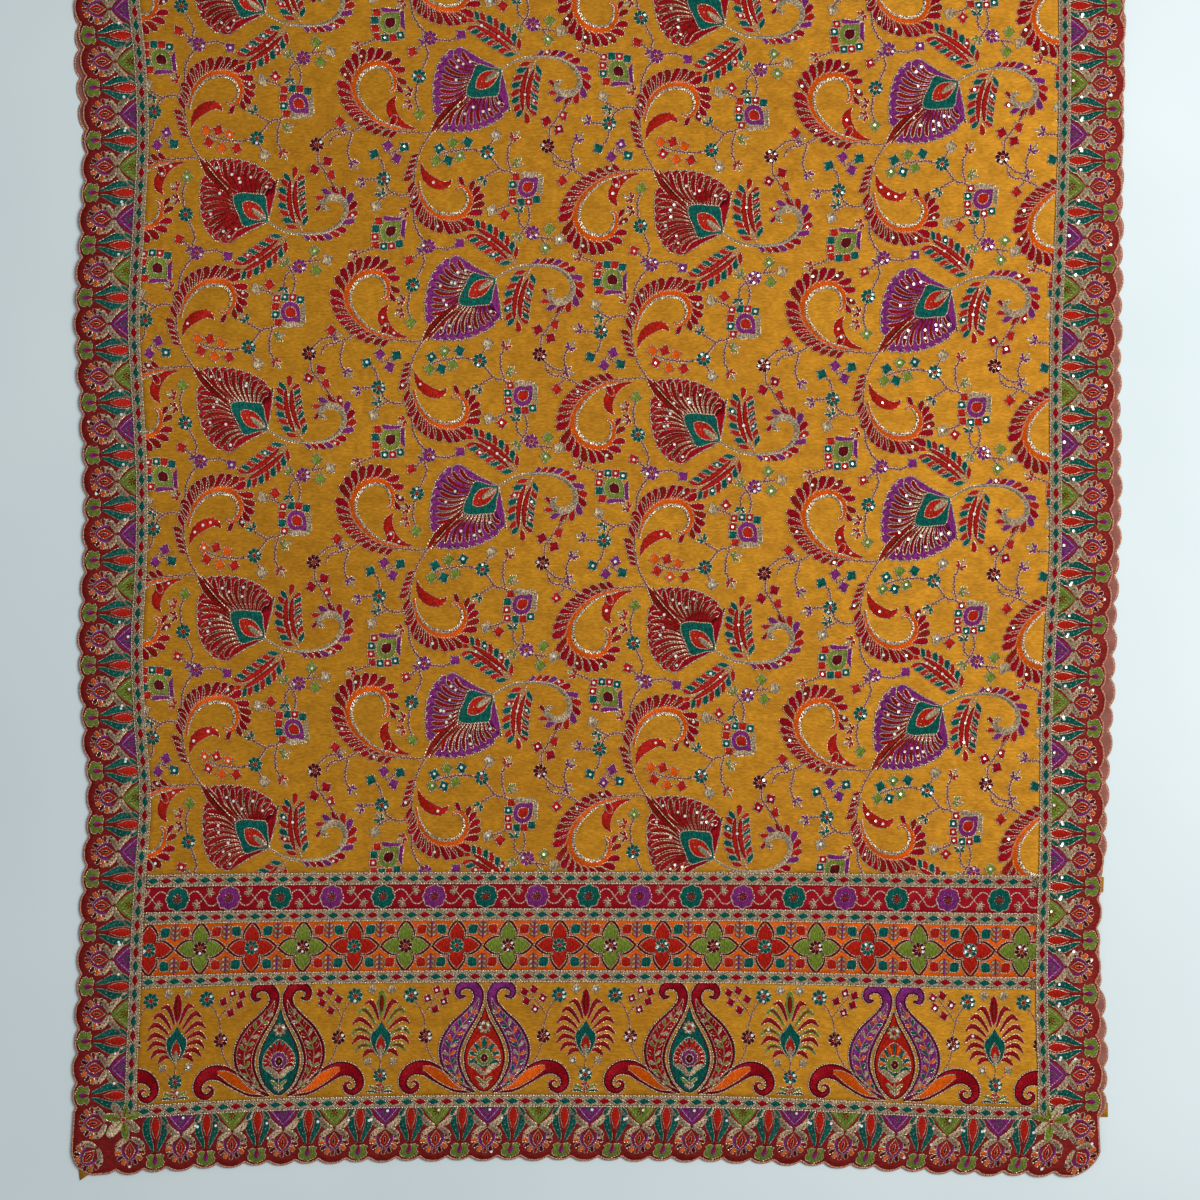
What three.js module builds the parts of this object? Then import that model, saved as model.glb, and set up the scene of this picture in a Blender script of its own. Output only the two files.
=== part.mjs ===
// An embroidered dupatta folded in half crosswise and laid flat, right side out.
//
// Millimetres, +Z up, X across the cloth, +Y towards the fold. The origin is under the middle of the
// folded cloth, on the surface that it lies on.
//
// Every piece of the upper half is cut in flat cloth coordinates, { across, along }: across runs from
// the left edge, along from the scalloped end towards the fold. lay() puts a point of the flat cloth
// in its place on the surface, with the cloth's uneven edges, its soft creases and its fold.

import * as THREE from 'three';

// ---- Driving dimensions -------------------------------------------------------------------------

const CLOTH_WIDTH = 950;
const HALF_LENGTH = 1250; // the whole dupatta is 2500 long
const WALL = 1.2; // embroidered cloth
const BRAID_WALL = 1;
const GAP = 0.3; // between neighbouring pieces and between layers
const BRAID_WIDTH = 10.5;
const BORDER_CUT = 55; // scalloped edge to seam
const END_Y = -616.5; // the scalloped end, halfway across

// The end piece, from the scalloped end to the field, and the cut of each panel in it.
const PAISLEY_CUT = 113;
const QUATREFOIL_CUT = 56;
const ROSETTE_CUT = 33;

// One repeat of the border has a wide scallop for its palmette and a narrow one for its tulip.
const SCALLOPS = { // each edge's repeat, and the place along it of one palmette
  left: { repeat: 47.55, palmette: 45.6 },
  right: { repeat: 46.75, palmette: 42.1 },
  end: { repeat: 47, palmette: 7.6 },
};
const WIDE_SHARE = 0.545;
const WIDE_DEPTH = 4.5;
const NARROW_DEPTH = 3.6;
const CORNER_RADIUS = 22;

// The fold is soft: the upper half climbs to a small roll and returns beneath it.
const FOLD_RADIUS = 2.6; // to the middle of the wall
const FOLD_CLIMB = 45;
const FOLD_RETURN = 14;
const FOLD_STEPS = 6;
const BRAID_FOLD_STEPS = 4; // the side braids end short of the underside, so that it stays flat

const STATION = 50; // spacing of the sections across and along the cloth

// Where the cloth's edges lie, through the tips of the scallops.
const EDGE_ROWS = [
  { along: 0, left: -479.0, right: 446.0 },
  { along: 20, left: -479.0, right: 453.5 },
  { along: 74, left: -478.6, right: 456.2 },
  { along: 146, left: -475.4, right: 454.5 },
  { along: 218, left: -472.4, right: 454.9 },
  { along: 264, left: -469.5, right: 456.8 },
  { along: 328, left: -465.0, right: 457.6 },
  { along: 400, left: -470.3, right: 458.5 },
  { along: 464, left: -473.3, right: 461.5 },
  { along: 546, left: -469.4, right: 466.7 },
  { along: 618, left: -468.6, right: 467.4 },
  { along: 690, left: -472.6, right: 467.4 },
  { along: 754, left: -476.3, right: 468.5 },
  { along: 854, left: -471.8, right: 473.0 },
  { along: 936, left: -468.2, right: 475.7 },
  { along: 998, left: -471.2, right: 476.6 },
  { along: 1052, left: -477.0, right: 476.6 },
  { along: 1250, left: -476.5, right: 475.7 },
];

// The half beneath lies a little turned and shifted, so that it shows along some edges.
const UNDER_ROWS = [
  { y: -619, left: -474.0, right: 440.0 },
  { y: -570, left: -469.4, right: 458.8 },
  { y: -525, left: -466.7, right: 461.4 },
  { y: -470, left: -464.0, right: 458.8 },
  { y: -434, left: -462.0, right: 454.0 },
  { y: -380, left: -460.5, right: 453.0 },
  { y: -343, left: -460.5, right: 459.0 },
  { y: -289, left: -460.5, right: 462.0 },
  { y: -198, left: -462.0, right: 467.5 },
  { y: -108, left: -460.5, right: 470.6 },
  { y: -35, left: -460.5, right: 474.0 },
  { y: 74, left: -463.9, right: 473.5 },
  { y: 210, left: -463.9, right: 475.5 },
  { y: 300, left: -469.4, right: 475.8 },
  { y: 364, left: -475.7, right: 476.5 },
  { y: 436, left: -476.6, right: 478.0 },
  { y: 633, left: -474.0, right: 477.0 },
];
const UNDER_END_Y = -613;
const UNDER_TAB = { x: -466, y: -634, width: 18 }; // raw corner of the ground that slips out

// How far the scalloped end bows away from straight, across the cloth.
const BOW_ROWS = [
  { across: 0, bow: -12.5 },
  { across: 45, bow: -12.5 },
  { across: 110, bow: -8.3 },
  { across: 165, bow: -5 },
  { across: 250, bow: -2 },
  { across: 330, bow: -0.2 },
  { across: 420, bow: 0.5 },
  { across: 500, bow: 0 },
  { across: 620, bow: -2 },
  { across: 680, bow: -4.5 },
  { across: 760, bow: -9 },
  { across: 840, bow: -13 },
  { across: 900, bow: -14 },
  { across: 950, bow: -14 },
];
const BOW_REACH = 420; // the bow dies out this far along the cloth

// Soft creases: centre, turn from straight across in degrees, half length, half width and height.
const CREASES = [
  { across: 490, along: 531, turn: 3, reach: 260, spread: 60, height: 1.4 },
  { across: 472, along: 627, turn: -4, reach: 230, spread: 55, height: 1.2 },
  { across: 580, along: 890, turn: 25, reach: 160, spread: 60, height: 1.4 },
  { across: 200, along: 917, turn: -30, reach: 130, spread: 50, height: 1.2 },
  { across: 363, along: 373, turn: -35, reach: 120, spread: 50, height: 1.3 },
  { across: 744, along: 418, turn: 20, reach: 150, spread: 55, height: 1.3 },
  { across: 155, along: 645, turn: 12, reach: 140, spread: 50, height: 1.2 },
  { across: 635, along: 182, turn: 5, reach: 150, spread: 50, height: 0.9 },
  { across: 200, along: 100, turn: -6, reach: 130, spread: 45, height: 1.0 },
  { across: 480, along: 1110, turn: 2, reach: 250, spread: 60, height: 1.5 },
  { across: 905, along: 560, turn: 82, reach: 110, spread: 40, height: 1.6 },
  { across: 30, along: 770, turn: 96, reach: 120, spread: 36, height: 1.5 },
  { across: 925, along: 60, turn: 60, reach: 60, spread: 40, height: 1.8 },
];

// ---- The laid cloth -----------------------------------------------------------------------------

function column(rows, place, name) {
  const places = rows.map((row) => row[place]);
  const values = rows.map((row) => row[name]);
  const curve = new THREE.CubicInterpolant(places, values, 1);
  return (at) => curve.evaluate(THREE.MathUtils.clamp(at, places[0], places.at(-1)))[0];
}

const leftEdge = column(EDGE_ROWS, 'along', 'left');
const rightEdge = column(EDGE_ROWS, 'along', 'right');
const underLeft = column(UNDER_ROWS, 'y', 'left');
const underRight = column(UNDER_ROWS, 'y', 'right');
const bowAt = column(BOW_ROWS, 'across', 'bow');

function creaseHeight(across, along) {
  let height = 0;
  for (const crease of CREASES) {
    const turn = THREE.MathUtils.degToRad(crease.turn);
    const dx = across - crease.across;
    const dy = along - crease.along;
    const lengthwise = (dx * Math.cos(turn) + dy * Math.sin(turn)) / crease.reach;
    const crosswise = (dy * Math.cos(turn) - dx * Math.sin(turn)) / crease.spread;
    height += crease.height * Math.exp(-(lengthwise ** 2 + crosswise ** 2));
  }
  return height;
}

// A curve's value taken straight between stations, so that pieces with other sections still meet.
function straight(curve, at) {
  const before = Math.floor(at / STATION) * STATION;
  return THREE.MathUtils.lerp(curve(before), curve(before + STATION), (at - before) / STATION);
}

function lift(across, along) {
  return straight((row) => straight((place) => creaseHeight(place, row), across), along);
}

const FOLD_ARC = Math.PI * FOLD_RADIUS;
const FOLD_START = HALF_LENGTH - FOLD_ARC / 2; // along the cloth, where it turns over
const FOLD_END = FOLD_START + FOLD_ARC + FOLD_RETURN;
const UPPER_MIDDLE = WALL + GAP + WALL / 2; // height of the middle of the upper half's wall
const FOLD_TOP = WALL / 2 + 2 * FOLD_RADIUS;

// A point of the flat cloth in its place, rise above the middle of the wall.
function lay(across, along, rise) {
  const reach = Math.max(0, 1 - along / BOW_REACH) ** 1.5;
  const y = END_Y + Math.min(along, FOLD_START) + straight(bowAt, across) * reach;
  const x = THREE.MathUtils.lerp(
    straight(leftEdge, Math.min(along, HALF_LENGTH)),
    straight(rightEdge, Math.min(along, HALF_LENGTH)),
    across / CLOTH_WIDTH,
  );
  if (along <= FOLD_START) {
    const climb = THREE.MathUtils.smoothstep(along, FOLD_START - FOLD_CLIMB, FOLD_START);
    const flat = UPPER_MIDDLE + lift(across, along);
    return new THREE.Vector3(x, y, THREE.MathUtils.lerp(flat, FOLD_TOP, climb) + rise);
  }
  const turned = Math.min(along - FOLD_START, FOLD_ARC) / FOLD_RADIUS;
  const returned = Math.max(0, along - FOLD_START - FOLD_ARC);
  const radius = FOLD_RADIUS + rise;
  const centre = WALL / 2 + FOLD_RADIUS;
  return new THREE.Vector3(x, y + radius * Math.sin(turned) - returned, centre + radius * Math.cos(turned));
}

// ---- Cutting pieces from the flat cloth ---------------------------------------------------------

// A scalloped edge's depth in from the tips, and the places along it where its outline turns.
function scallopInset(at, { repeat, palmette }) {
  const place = THREE.MathUtils.euclideanModulo((at - palmette) / repeat + 0.5, 1) - 0.5;
  const wideHalf = WIDE_SHARE / 2;
  const narrowHalf = 0.5 - wideHalf;
  if (Math.abs(place) < wideHalf) return WIDE_DEPTH * (place / wideHalf) ** 2;
  const fromMiddle = (0.5 - Math.abs(place)) / narrowHalf;
  return WIDE_DEPTH - NARROW_DEPTH * (1 - fromMiddle ** 2);
}

const SCALLOP_TURNS = [-0.5, -0.24, 0, 0.24, 0.5].map((share) => share * WIDE_SHARE);
const NARROW_TURNS = [-0.2, 0.2].map((share) => 0.5 + share * (1 - WIDE_SHARE));

function scallopPlaces(from, to, { repeat, palmette }) {
  const places = [from];
  for (let k = Math.floor((from - palmette) / repeat) - 1; palmette + k * repeat < to + repeat; k += 1) {
    for (const turn of [...SCALLOP_TURNS, ...NARROW_TURNS]) {
      const place = palmette + (k + turn) * repeat;
      if (place > from + 1 && place < to - 1) places.push(place);
    }
  }
  return [...places, to];
}

// Places from one edge to another, with a section at each station between them.
function stations(from, to) {
  const places = [from];
  for (let at = Math.ceil((from + 2) / STATION) * STATION; at < to - 2; at += STATION) places.push(at);
  return [...places, to];
}

// Sections round the fold, from where the cloth starts to climb to the end of its return.
function foldPlaces() {
  const climb = [0.25, 0.5, 0.75].map((share) => FOLD_START - FOLD_CLIMB * (1 - share));
  const arc = Array.from({ length: FOLD_STEPS + 1 }, (_, i) => FOLD_START + (FOLD_ARC * i) / FOLD_STEPS);
  return [...climb, ...arc, FOLD_END];
}

// A closed solid of one wall, from a grid of { across, along } points in rows. Points that coincide
// are joined, so that a grid can come to a corner.
function cloth(name, grid, look, bottom = -WALL / 2, top = WALL / 2) {
  const keys = new Map();
  const flat = [];
  const indexOf = (point) => {
    const key = `${point.across.toFixed(3)} ${point.along.toFixed(3)}`;
    if (!keys.has(key)) keys.set(key, flat.push(point) - 1);
    return keys.get(key);
  };
  const ids = grid.map((row) => row.map(indexOf));
  const upper = [];
  for (let r = 0; r + 1 < ids.length; r += 1) {
    for (let c = 0; c + 1 < ids[r].length; c += 1) {
      const [a, b, d, e] = [ids[r][c], ids[r][c + 1], ids[r + 1][c + 1], ids[r + 1][c]];
      for (const face of [[a, b, d], [a, d, e]]) if (new Set(face).size === 3) upper.push(face);
    }
  }
  const turned = upper.reduce((sum, [a, b, c]) => sum + signedArea(flat[a], flat[b], flat[c]), 0) < 0;
  const faces = turned ? upper.map(([a, b, c]) => [a, c, b]) : upper;
  const edges = new Set(faces.flatMap(([a, b, c]) => [`${a} ${b}`, `${b} ${c}`, `${c} ${a}`]));
  const count = flat.length;
  const index = faces.flatMap(([a, b, c]) => [a, b, c, a + count, c + count, b + count]);
  for (const edge of edges) {
    const [a, b] = edge.split(' ').map(Number);
    if (!edges.has(`${b} ${a}`)) index.push(a, a + count, b + count, a, b + count, b);
  }
  const points = [top, bottom].flatMap((rise) => flat.map((point) => lay(point.across, point.along, rise)));
  const geometry = new THREE.BufferGeometry().setFromPoints(points);
  geometry.setIndex(index);
  geometry.computeVertexNormals();
  return mesh(name, geometry, look);
}

function signedArea(a, b, c) {
  return (b.across - a.across) * (c.along - a.along) - (c.across - a.across) * (b.along - a.along);
}

function mesh(name, geometry, look) {
  const piece = new THREE.Mesh(geometry, new THREE.MeshStandardMaterial(look));
  piece.name = name;
  return piece;
}

// A rectangle of the flat cloth.
function panel(name, acrossPlaces, alongPlaces, look, bottom, top) {
  const grid = alongPlaces.map((along) => acrossPlaces.map((across) => ({ across, along })));
  return cloth(name, grid, look, bottom, top);
}

// A side border between two places along the cloth. Side is 'left' or 'right'.
function sideBorder(name, side, from, to, overFold) {
  const left = side === 'left';
  const seam = left ? BORDER_CUT - GAP / 2 : CLOTH_WIDTH - BORDER_CUT + GAP / 2;
  const flatEnd = overFold ? FOLD_START - FOLD_CLIMB : to;
  const places = scallopPlaces(from, flatEnd, SCALLOPS[side]);
  if (overFold) places.push(...foldPlaces());
  const grid = places.map((along) => {
    const inset = scallopInset(along, SCALLOPS[side]);
    return [
      { across: left ? inset : CLOTH_WIDTH - inset, along },
      { across: seam, along },
    ];
  });
  return cloth(name, grid, MAROON);
}

// The border of the scalloped end, with both rounded corners.
function endBorder(name) {
  const seam = BORDER_CUT - GAP / 2;
  const rightSeam = CLOTH_WIDTH - BORDER_CUT;
  const outer = [];
  const side = (scallops, place) => {
    const places = scallopPlaces(CORNER_RADIUS, seam, scallops);
    return places.map((along) => place(scallopInset(along, scallops), along));
  };
  outer.push(...side(SCALLOPS.left, (inset, along) => ({ across: inset, along })).reverse());
  outer.push(...cornerArc((out, down) => ({ across: out, along: down })));
  for (const across of scallopPlaces(CORNER_RADIUS, CLOTH_WIDTH - CORNER_RADIUS, SCALLOPS.end)) {
    outer.push({ across, along: scallopInset(across, SCALLOPS.end) });
  }
  outer.push(...cornerArc((out, down) => ({ across: CLOTH_WIDTH - out, along: down })).reverse());
  outer.push(...side(SCALLOPS.right, (inset, along) => ({ across: CLOTH_WIDTH - inset, along })));
  const grid = outer.map((point) => [
    point,
    { across: THREE.MathUtils.clamp(point.across, BORDER_CUT, rightSeam), along: seam },
  ]);
  return cloth(name, grid, MAROON);
}

// Points of a rounded corner, between the straight edges that it joins.
function cornerArc(place) {
  const steps = 5;
  return Array.from({ length: steps - 1 }, (_, i) => {
    const angle = (Math.PI / 2) * ((i + 1) / steps);
    return place(CORNER_RADIUS * (1 - Math.cos(angle)), CORNER_RADIUS * (1 - Math.sin(angle)));
  });
}

// A braid sewn over a seam, on top of the pieces that it joins.
function braid(name, acrossPlaces, alongPlaces) {
  const bottom = WALL / 2 + GAP;
  return panel(name, acrossPlaces, alongPlaces, ECRU, bottom, bottom + BRAID_WALL);
}

// The half beneath: one flat wall with its own scalloped outline, up to the upper half's return.
function underHalf(name) {
  const foldY = END_Y + FOLD_START - FOLD_RETURN - GAP;
  const edge = (scallops, xAt) => scallopPlaces(UNDER_END_Y + CORNER_RADIUS, foldY, scallops)
    .map((y) => new THREE.Vector2(xAt(y, scallopInset(y, scallops)), y));
  const outline = edge(SCALLOPS.left, (y, inset) => underLeft(y) + inset).reverse();
  outline.push(
    new THREE.Vector2(UNDER_TAB.x - UNDER_TAB.width / 3, UNDER_END_Y + 4),
    new THREE.Vector2(UNDER_TAB.x, UNDER_TAB.y),
    new THREE.Vector2(UNDER_TAB.x + UNDER_TAB.width / 2, UNDER_END_Y),
    new THREE.Vector2(underRight(UNDER_END_Y) - CORNER_RADIUS, UNDER_END_Y),
  );
  outline.push(...edge(SCALLOPS.right, (y, inset) => underRight(y) - inset));
  const wall = { depth: WALL, bevelEnabled: false };
  return mesh(name, new THREE.ExtrudeGeometry(new THREE.Shape(outline), wall), PALE);
}

// ---- The dupatta --------------------------------------------------------------------------------

const MUSTARD = { color: 0xc08a1c, roughness: 0.45, metalness: 0 };
const MAROON = { color: 0x7a1c20, roughness: 0.7, metalness: 0 };
const CRIMSON = { color: 0x9a1f2c, roughness: 0.7, metalness: 0 };
const ORANGE = { color: 0xd9701c, roughness: 0.6, metalness: 0 };
const ECRU = { color: 0xb9a27c, roughness: 0.55, metalness: 0.2 };
const PALE = { color: 0xb07a66, roughness: 0.75, metalness: 0 };

const group = new THREE.Group();

const PANELS = [
  { name: 'paisley_panel', braid: 'braid_pallu_end', cut: PAISLEY_CUT, look: MUSTARD },
  { name: 'quatrefoil_band', braid: 'braid_quatrefoil', cut: QUATREFOIL_CUT, look: ORANGE },
  { name: 'rosette_band', braid: 'braid_rosette', cut: ROSETTE_CUT, look: CRIMSON },
];

const innerPlaces = stations(BORDER_CUT + GAP / 2, CLOTH_WIDTH - BORDER_CUT - GAP / 2);
const braidInset = BORDER_CUT + BRAID_WIDTH / 2 + 2 * GAP;
const crossPlaces = stations(braidInset, CLOTH_WIDTH - braidInset);
const overSeam = (seam) => [seam - BRAID_WIDTH / 2, seam + BRAID_WIDTH / 2];

group.add(underHalf('under_half'));
group.add(endBorder('border_pallu_end'));

let seam = BORDER_CUT;
for (const { name, braid: braidName, cut, look } of PANELS) {
  group.add(panel(name, innerPlaces, stations(seam + GAP / 2, seam + cut - GAP / 2), look));
  group.add(braid(braidName, crossPlaces, overSeam(seam)));
  seam += cut;
}
const fieldSeam = seam;
const overFold = [...stations(fieldSeam + GAP / 2, FOLD_START - FOLD_CLIMB), ...foldPlaces()];
const overFoldShort = overFold.slice(0, BRAID_FOLD_STEPS - FOLD_STEPS - 1);
group.add(panel('field_panel', innerPlaces, overFold, MUSTARD));
group.add(braid('braid_field_end', crossPlaces, overSeam(fieldSeam)));

for (const side of ['left', 'right']) {
  const sideSeam = side === 'left' ? BORDER_CUT : CLOTH_WIDTH - BORDER_CUT;
  const palluFrom = BORDER_CUT + GAP / 2;
  group.add(sideBorder(`border_pallu_${side}`, side, palluFrom, fieldSeam - GAP / 2, false));
  group.add(sideBorder(`border_${side}`, side, fieldSeam + GAP / 2, FOLD_END, true));
  const braidFrom = BORDER_CUT - BRAID_WIDTH / 2;
  group.add(braid(`braid_pallu_${side}`, overSeam(sideSeam), stations(braidFrom, fieldSeam - GAP / 2)));
  group.add(braid(`braid_${side}`, overSeam(sideSeam), overFoldShort));
}

export default group;
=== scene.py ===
"""An embroidered dupatta, folded in half crosswise and laid flat, seen from straight above.

Sizes are in millimetres of the flat cloth until lay() puts them in place, in metres, in the frame's axes.
The flat cloth has two coordinates: across, from its left edge, and along, from its scalloped end to the fold.
Embroidery is raised thread on that cloth. Each thread colour is one piece, joined from stamped motifs.
"""

import math

import bpy
import numpy as np
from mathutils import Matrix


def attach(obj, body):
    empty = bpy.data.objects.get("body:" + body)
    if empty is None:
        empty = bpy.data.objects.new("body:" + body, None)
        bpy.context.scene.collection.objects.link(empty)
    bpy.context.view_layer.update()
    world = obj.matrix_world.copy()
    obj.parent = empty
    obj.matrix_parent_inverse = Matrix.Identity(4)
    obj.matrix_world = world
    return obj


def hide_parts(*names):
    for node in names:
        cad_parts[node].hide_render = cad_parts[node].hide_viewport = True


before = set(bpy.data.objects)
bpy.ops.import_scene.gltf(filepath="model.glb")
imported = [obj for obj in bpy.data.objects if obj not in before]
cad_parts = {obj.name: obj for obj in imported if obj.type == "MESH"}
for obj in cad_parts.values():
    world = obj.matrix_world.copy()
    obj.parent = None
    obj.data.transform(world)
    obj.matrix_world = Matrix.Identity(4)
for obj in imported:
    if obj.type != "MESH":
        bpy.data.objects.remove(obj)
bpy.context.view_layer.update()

MM = 0.001
rng = np.random.default_rng(11)

# ---- Camera ------------------------------------------------------------------------------------

VIEW_CENTRE = (0.5 * MM, -107.7 * MM)  # the photo's middle, on the cloth
VIEW_WIDTH = 1088.4 * MM  # what the photo spans
CAMERA_HEIGHT = 2.4


def make_camera():
    data = bpy.data.cameras.new("camera")
    data.sensor_fit = "HORIZONTAL"
    data.angle = 2 * math.atan(VIEW_WIDTH / 2 / CAMERA_HEIGHT)
    camera = bpy.data.objects.new("camera", data)
    camera.location = (*VIEW_CENTRE, CAMERA_HEIGHT)
    bpy.context.collection.objects.link(camera)
    bpy.context.scene.camera = camera


make_camera()

# ---- The laid cloth ----------------------------------------------------------------------------

CLOTH_WIDTH = 950
HALF_LENGTH = 1250
WALL = 1.2
BRAID_WIDTH = 10.5
BORDER_CUT = 55
END_Y = -616.5
PAISLEY_SEAM = BORDER_CUT + 113
QUATREFOIL_SEAM = PAISLEY_SEAM + 56
FIELD_SEAM = QUATREFOIL_SEAM + 33
UPPER_TOP = 2.7  # height of the upper half's top where nothing lifts it

FOLD_RADIUS = 2.6
FOLD_CLIMB = 45
FOLD_RETURN = 14
FOLD_ARC = math.pi * FOLD_RADIUS
FOLD_START = HALF_LENGTH - FOLD_ARC / 2
FOLD_END = FOLD_START + FOLD_ARC + FOLD_RETURN

EDGE_ROWS = np.array([  # along, left, right
    (0, -479.0, 446.0), (20, -479.0, 453.5), (74, -478.6, 456.2), (146, -475.4, 454.5),
    (218, -472.4, 454.9), (264, -469.5, 456.8), (328, -465.0, 457.6), (400, -470.3, 458.5),
    (464, -473.3, 461.5), (546, -469.4, 466.7), (618, -468.6, 467.4), (690, -472.6, 467.4),
    (754, -476.3, 468.5), (854, -471.8, 473.0), (936, -468.2, 475.7), (998, -471.2, 476.6),
    (1052, -477.0, 476.6), (1250, -476.5, 475.7),
])
UNDER_ROWS = np.array([  # y, left, right
    (-619, -474.0, 440.0), (-570, -469.4, 458.8), (-525, -466.7, 461.4), (-470, -464.0, 458.8),
    (-434, -462.0, 454.0), (-380, -460.5, 453.0), (-343, -460.5, 459.0), (-289, -460.5, 462.0),
    (-198, -462.0, 467.5), (-108, -460.5, 470.6), (-35, -460.5, 474.0), (74, -463.9, 473.5),
    (210, -463.9, 475.5), (300, -469.4, 475.8), (364, -475.7, 476.5), (436, -476.6, 478.0),
    (633, -474.0, 477.0),
])
BOW_ROWS = np.array([  # across, bow
    (0, -12.5), (45, -12.5), (110, -8.3), (165, -5), (250, -2), (330, -0.2), (420, 0.5),
    (500, 0), (620, -2), (680, -4.5), (760, -9), (840, -13), (900, -14), (950, -14),
])
BOW_REACH = 420
CREASES = [  # across, along, turn in degrees, half length, half width, height
    (490, 531, 3, 260, 60, 1.4), (472, 627, -4, 230, 55, 1.2), (580, 890, 25, 160, 60, 1.4),
    (200, 917, -30, 130, 50, 1.2), (363, 373, -35, 120, 50, 1.3), (744, 418, 20, 150, 55, 1.3),
    (155, 645, 12, 140, 50, 1.2), (635, 182, 5, 150, 50, 0.9), (200, 100, -6, 130, 45, 1.0),
    (480, 1110, 2, 250, 60, 1.5), (905, 560, 82, 110, 40, 1.6), (30, 770, 96, 120, 36, 1.5),
    (925, 60, 60, 60, 40, 1.8),
]
FINE_PUCKER = 0.16
BROAD_PUCKER = 0.12
EDGE_DROOP = 0.9  # of the left and the lower edge
RIGHT_DROOP = 0.5
DROOP_REACH = 14


def curve_through(rows, column, at):
    """A smooth curve through the rows' values, as its first column grows."""
    places, values = rows[:, 0], rows[:, column]
    at = np.clip(at, places[0], places[-1])
    slopes = np.gradient(values, places)
    i = np.clip(np.searchsorted(places, at) - 1, 0, len(places) - 2)
    width = places[i + 1] - places[i]
    t = (at - places[i]) / width
    rest = 1 - t
    return (
        values[i] * (1 + 2 * t) * rest**2
        + values[i + 1] * (3 - 2 * t) * t**2
        + width * t * rest * (slopes[i] * rest - slopes[i + 1] * t)
    )


def smooth(value, low, high):
    """0 up to low, 1 from high on, and a smooth step between."""
    t = np.clip((value - low) / (high - low), 0, 1)
    return t * t * (3 - 2 * t)


def surface(across, along):
    """Height of the upper half's soft creases and small puckers."""
    height = np.zeros(np.shape(across))
    for middle, row, turn, reach, spread, crest in CREASES:
        dx, dy = across - middle, along - row
        cos, sin = math.cos(math.radians(turn)), math.sin(math.radians(turn))
        lengthwise, crosswise = (dx * cos + dy * sin) / reach, (dy * cos - dx * sin) / spread
        height += crest * np.exp(-(lengthwise**2) - crosswise**2)
    ripples = np.sin(along / 5.1 + 1.8 * np.sin(across / 61)) * np.sin(across / 47 + along / 83)
    waves = np.sin(across / 13 + 2.1 * np.sin(along / 37)) * np.sin(along / 29)
    height += FINE_PUCKER * ripples
    height += BROAD_PUCKER * waves
    droop = EDGE_DROOP * (1 - smooth(across, 0, DROOP_REACH))
    droop += RIGHT_DROOP * smooth(across, CLOTH_WIDTH - DROOP_REACH, CLOTH_WIDTH)
    return height - np.maximum(droop, EDGE_DROOP * (1 - smooth(along, 0, DROOP_REACH)))


def lay(across, along, rise):
    """Points of the flat cloth in place, in metres, rise above the upper half's top surface."""
    across, along, rise = np.broadcast_arrays(across, along, rise)
    reach = np.maximum(0, 1 - along / BOW_REACH) ** 1.5
    y = END_Y + np.minimum(along, FOLD_START) + curve_through(BOW_ROWS, 1, across) * reach
    left, right = curve_through(EDGE_ROWS, 1, along), curve_through(EDGE_ROWS, 2, along)
    x = left + (right - left) * across / CLOTH_WIDTH
    centre, radius = WALL / 2 + FOLD_RADIUS, FOLD_RADIUS + WALL / 2
    climb = smooth(along, FOLD_START - FOLD_CLIMB, FOLD_START)
    flat = UPPER_TOP + surface(across, np.minimum(along, FOLD_START))
    z = flat + (centre + radius - flat) * climb + rise
    turned = np.clip(along - FOLD_START, 0, FOLD_ARC) / FOLD_RADIUS
    over = along > FOLD_START
    z = np.where(over, centre + (radius + rise) * np.cos(turned), z)
    returned = np.maximum(0, along - FOLD_START - FOLD_ARC)
    y = np.where(over, y + (radius + rise) * np.sin(turned) - returned, y)
    return np.stack([x, y, z], axis=-1) * MM


# ---- Materials ---------------------------------------------------------------------------------


def linear(red, green, blue):
    """An sRGB colour of 0 to 255 as the shader's linear one."""
    channels = (c / 255 for c in (red, green, blue))
    return (*(c / 12.92 if c <= 0.04045 else ((c + 0.055) / 1.055) ** 2.4 for c in channels), 1)


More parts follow.
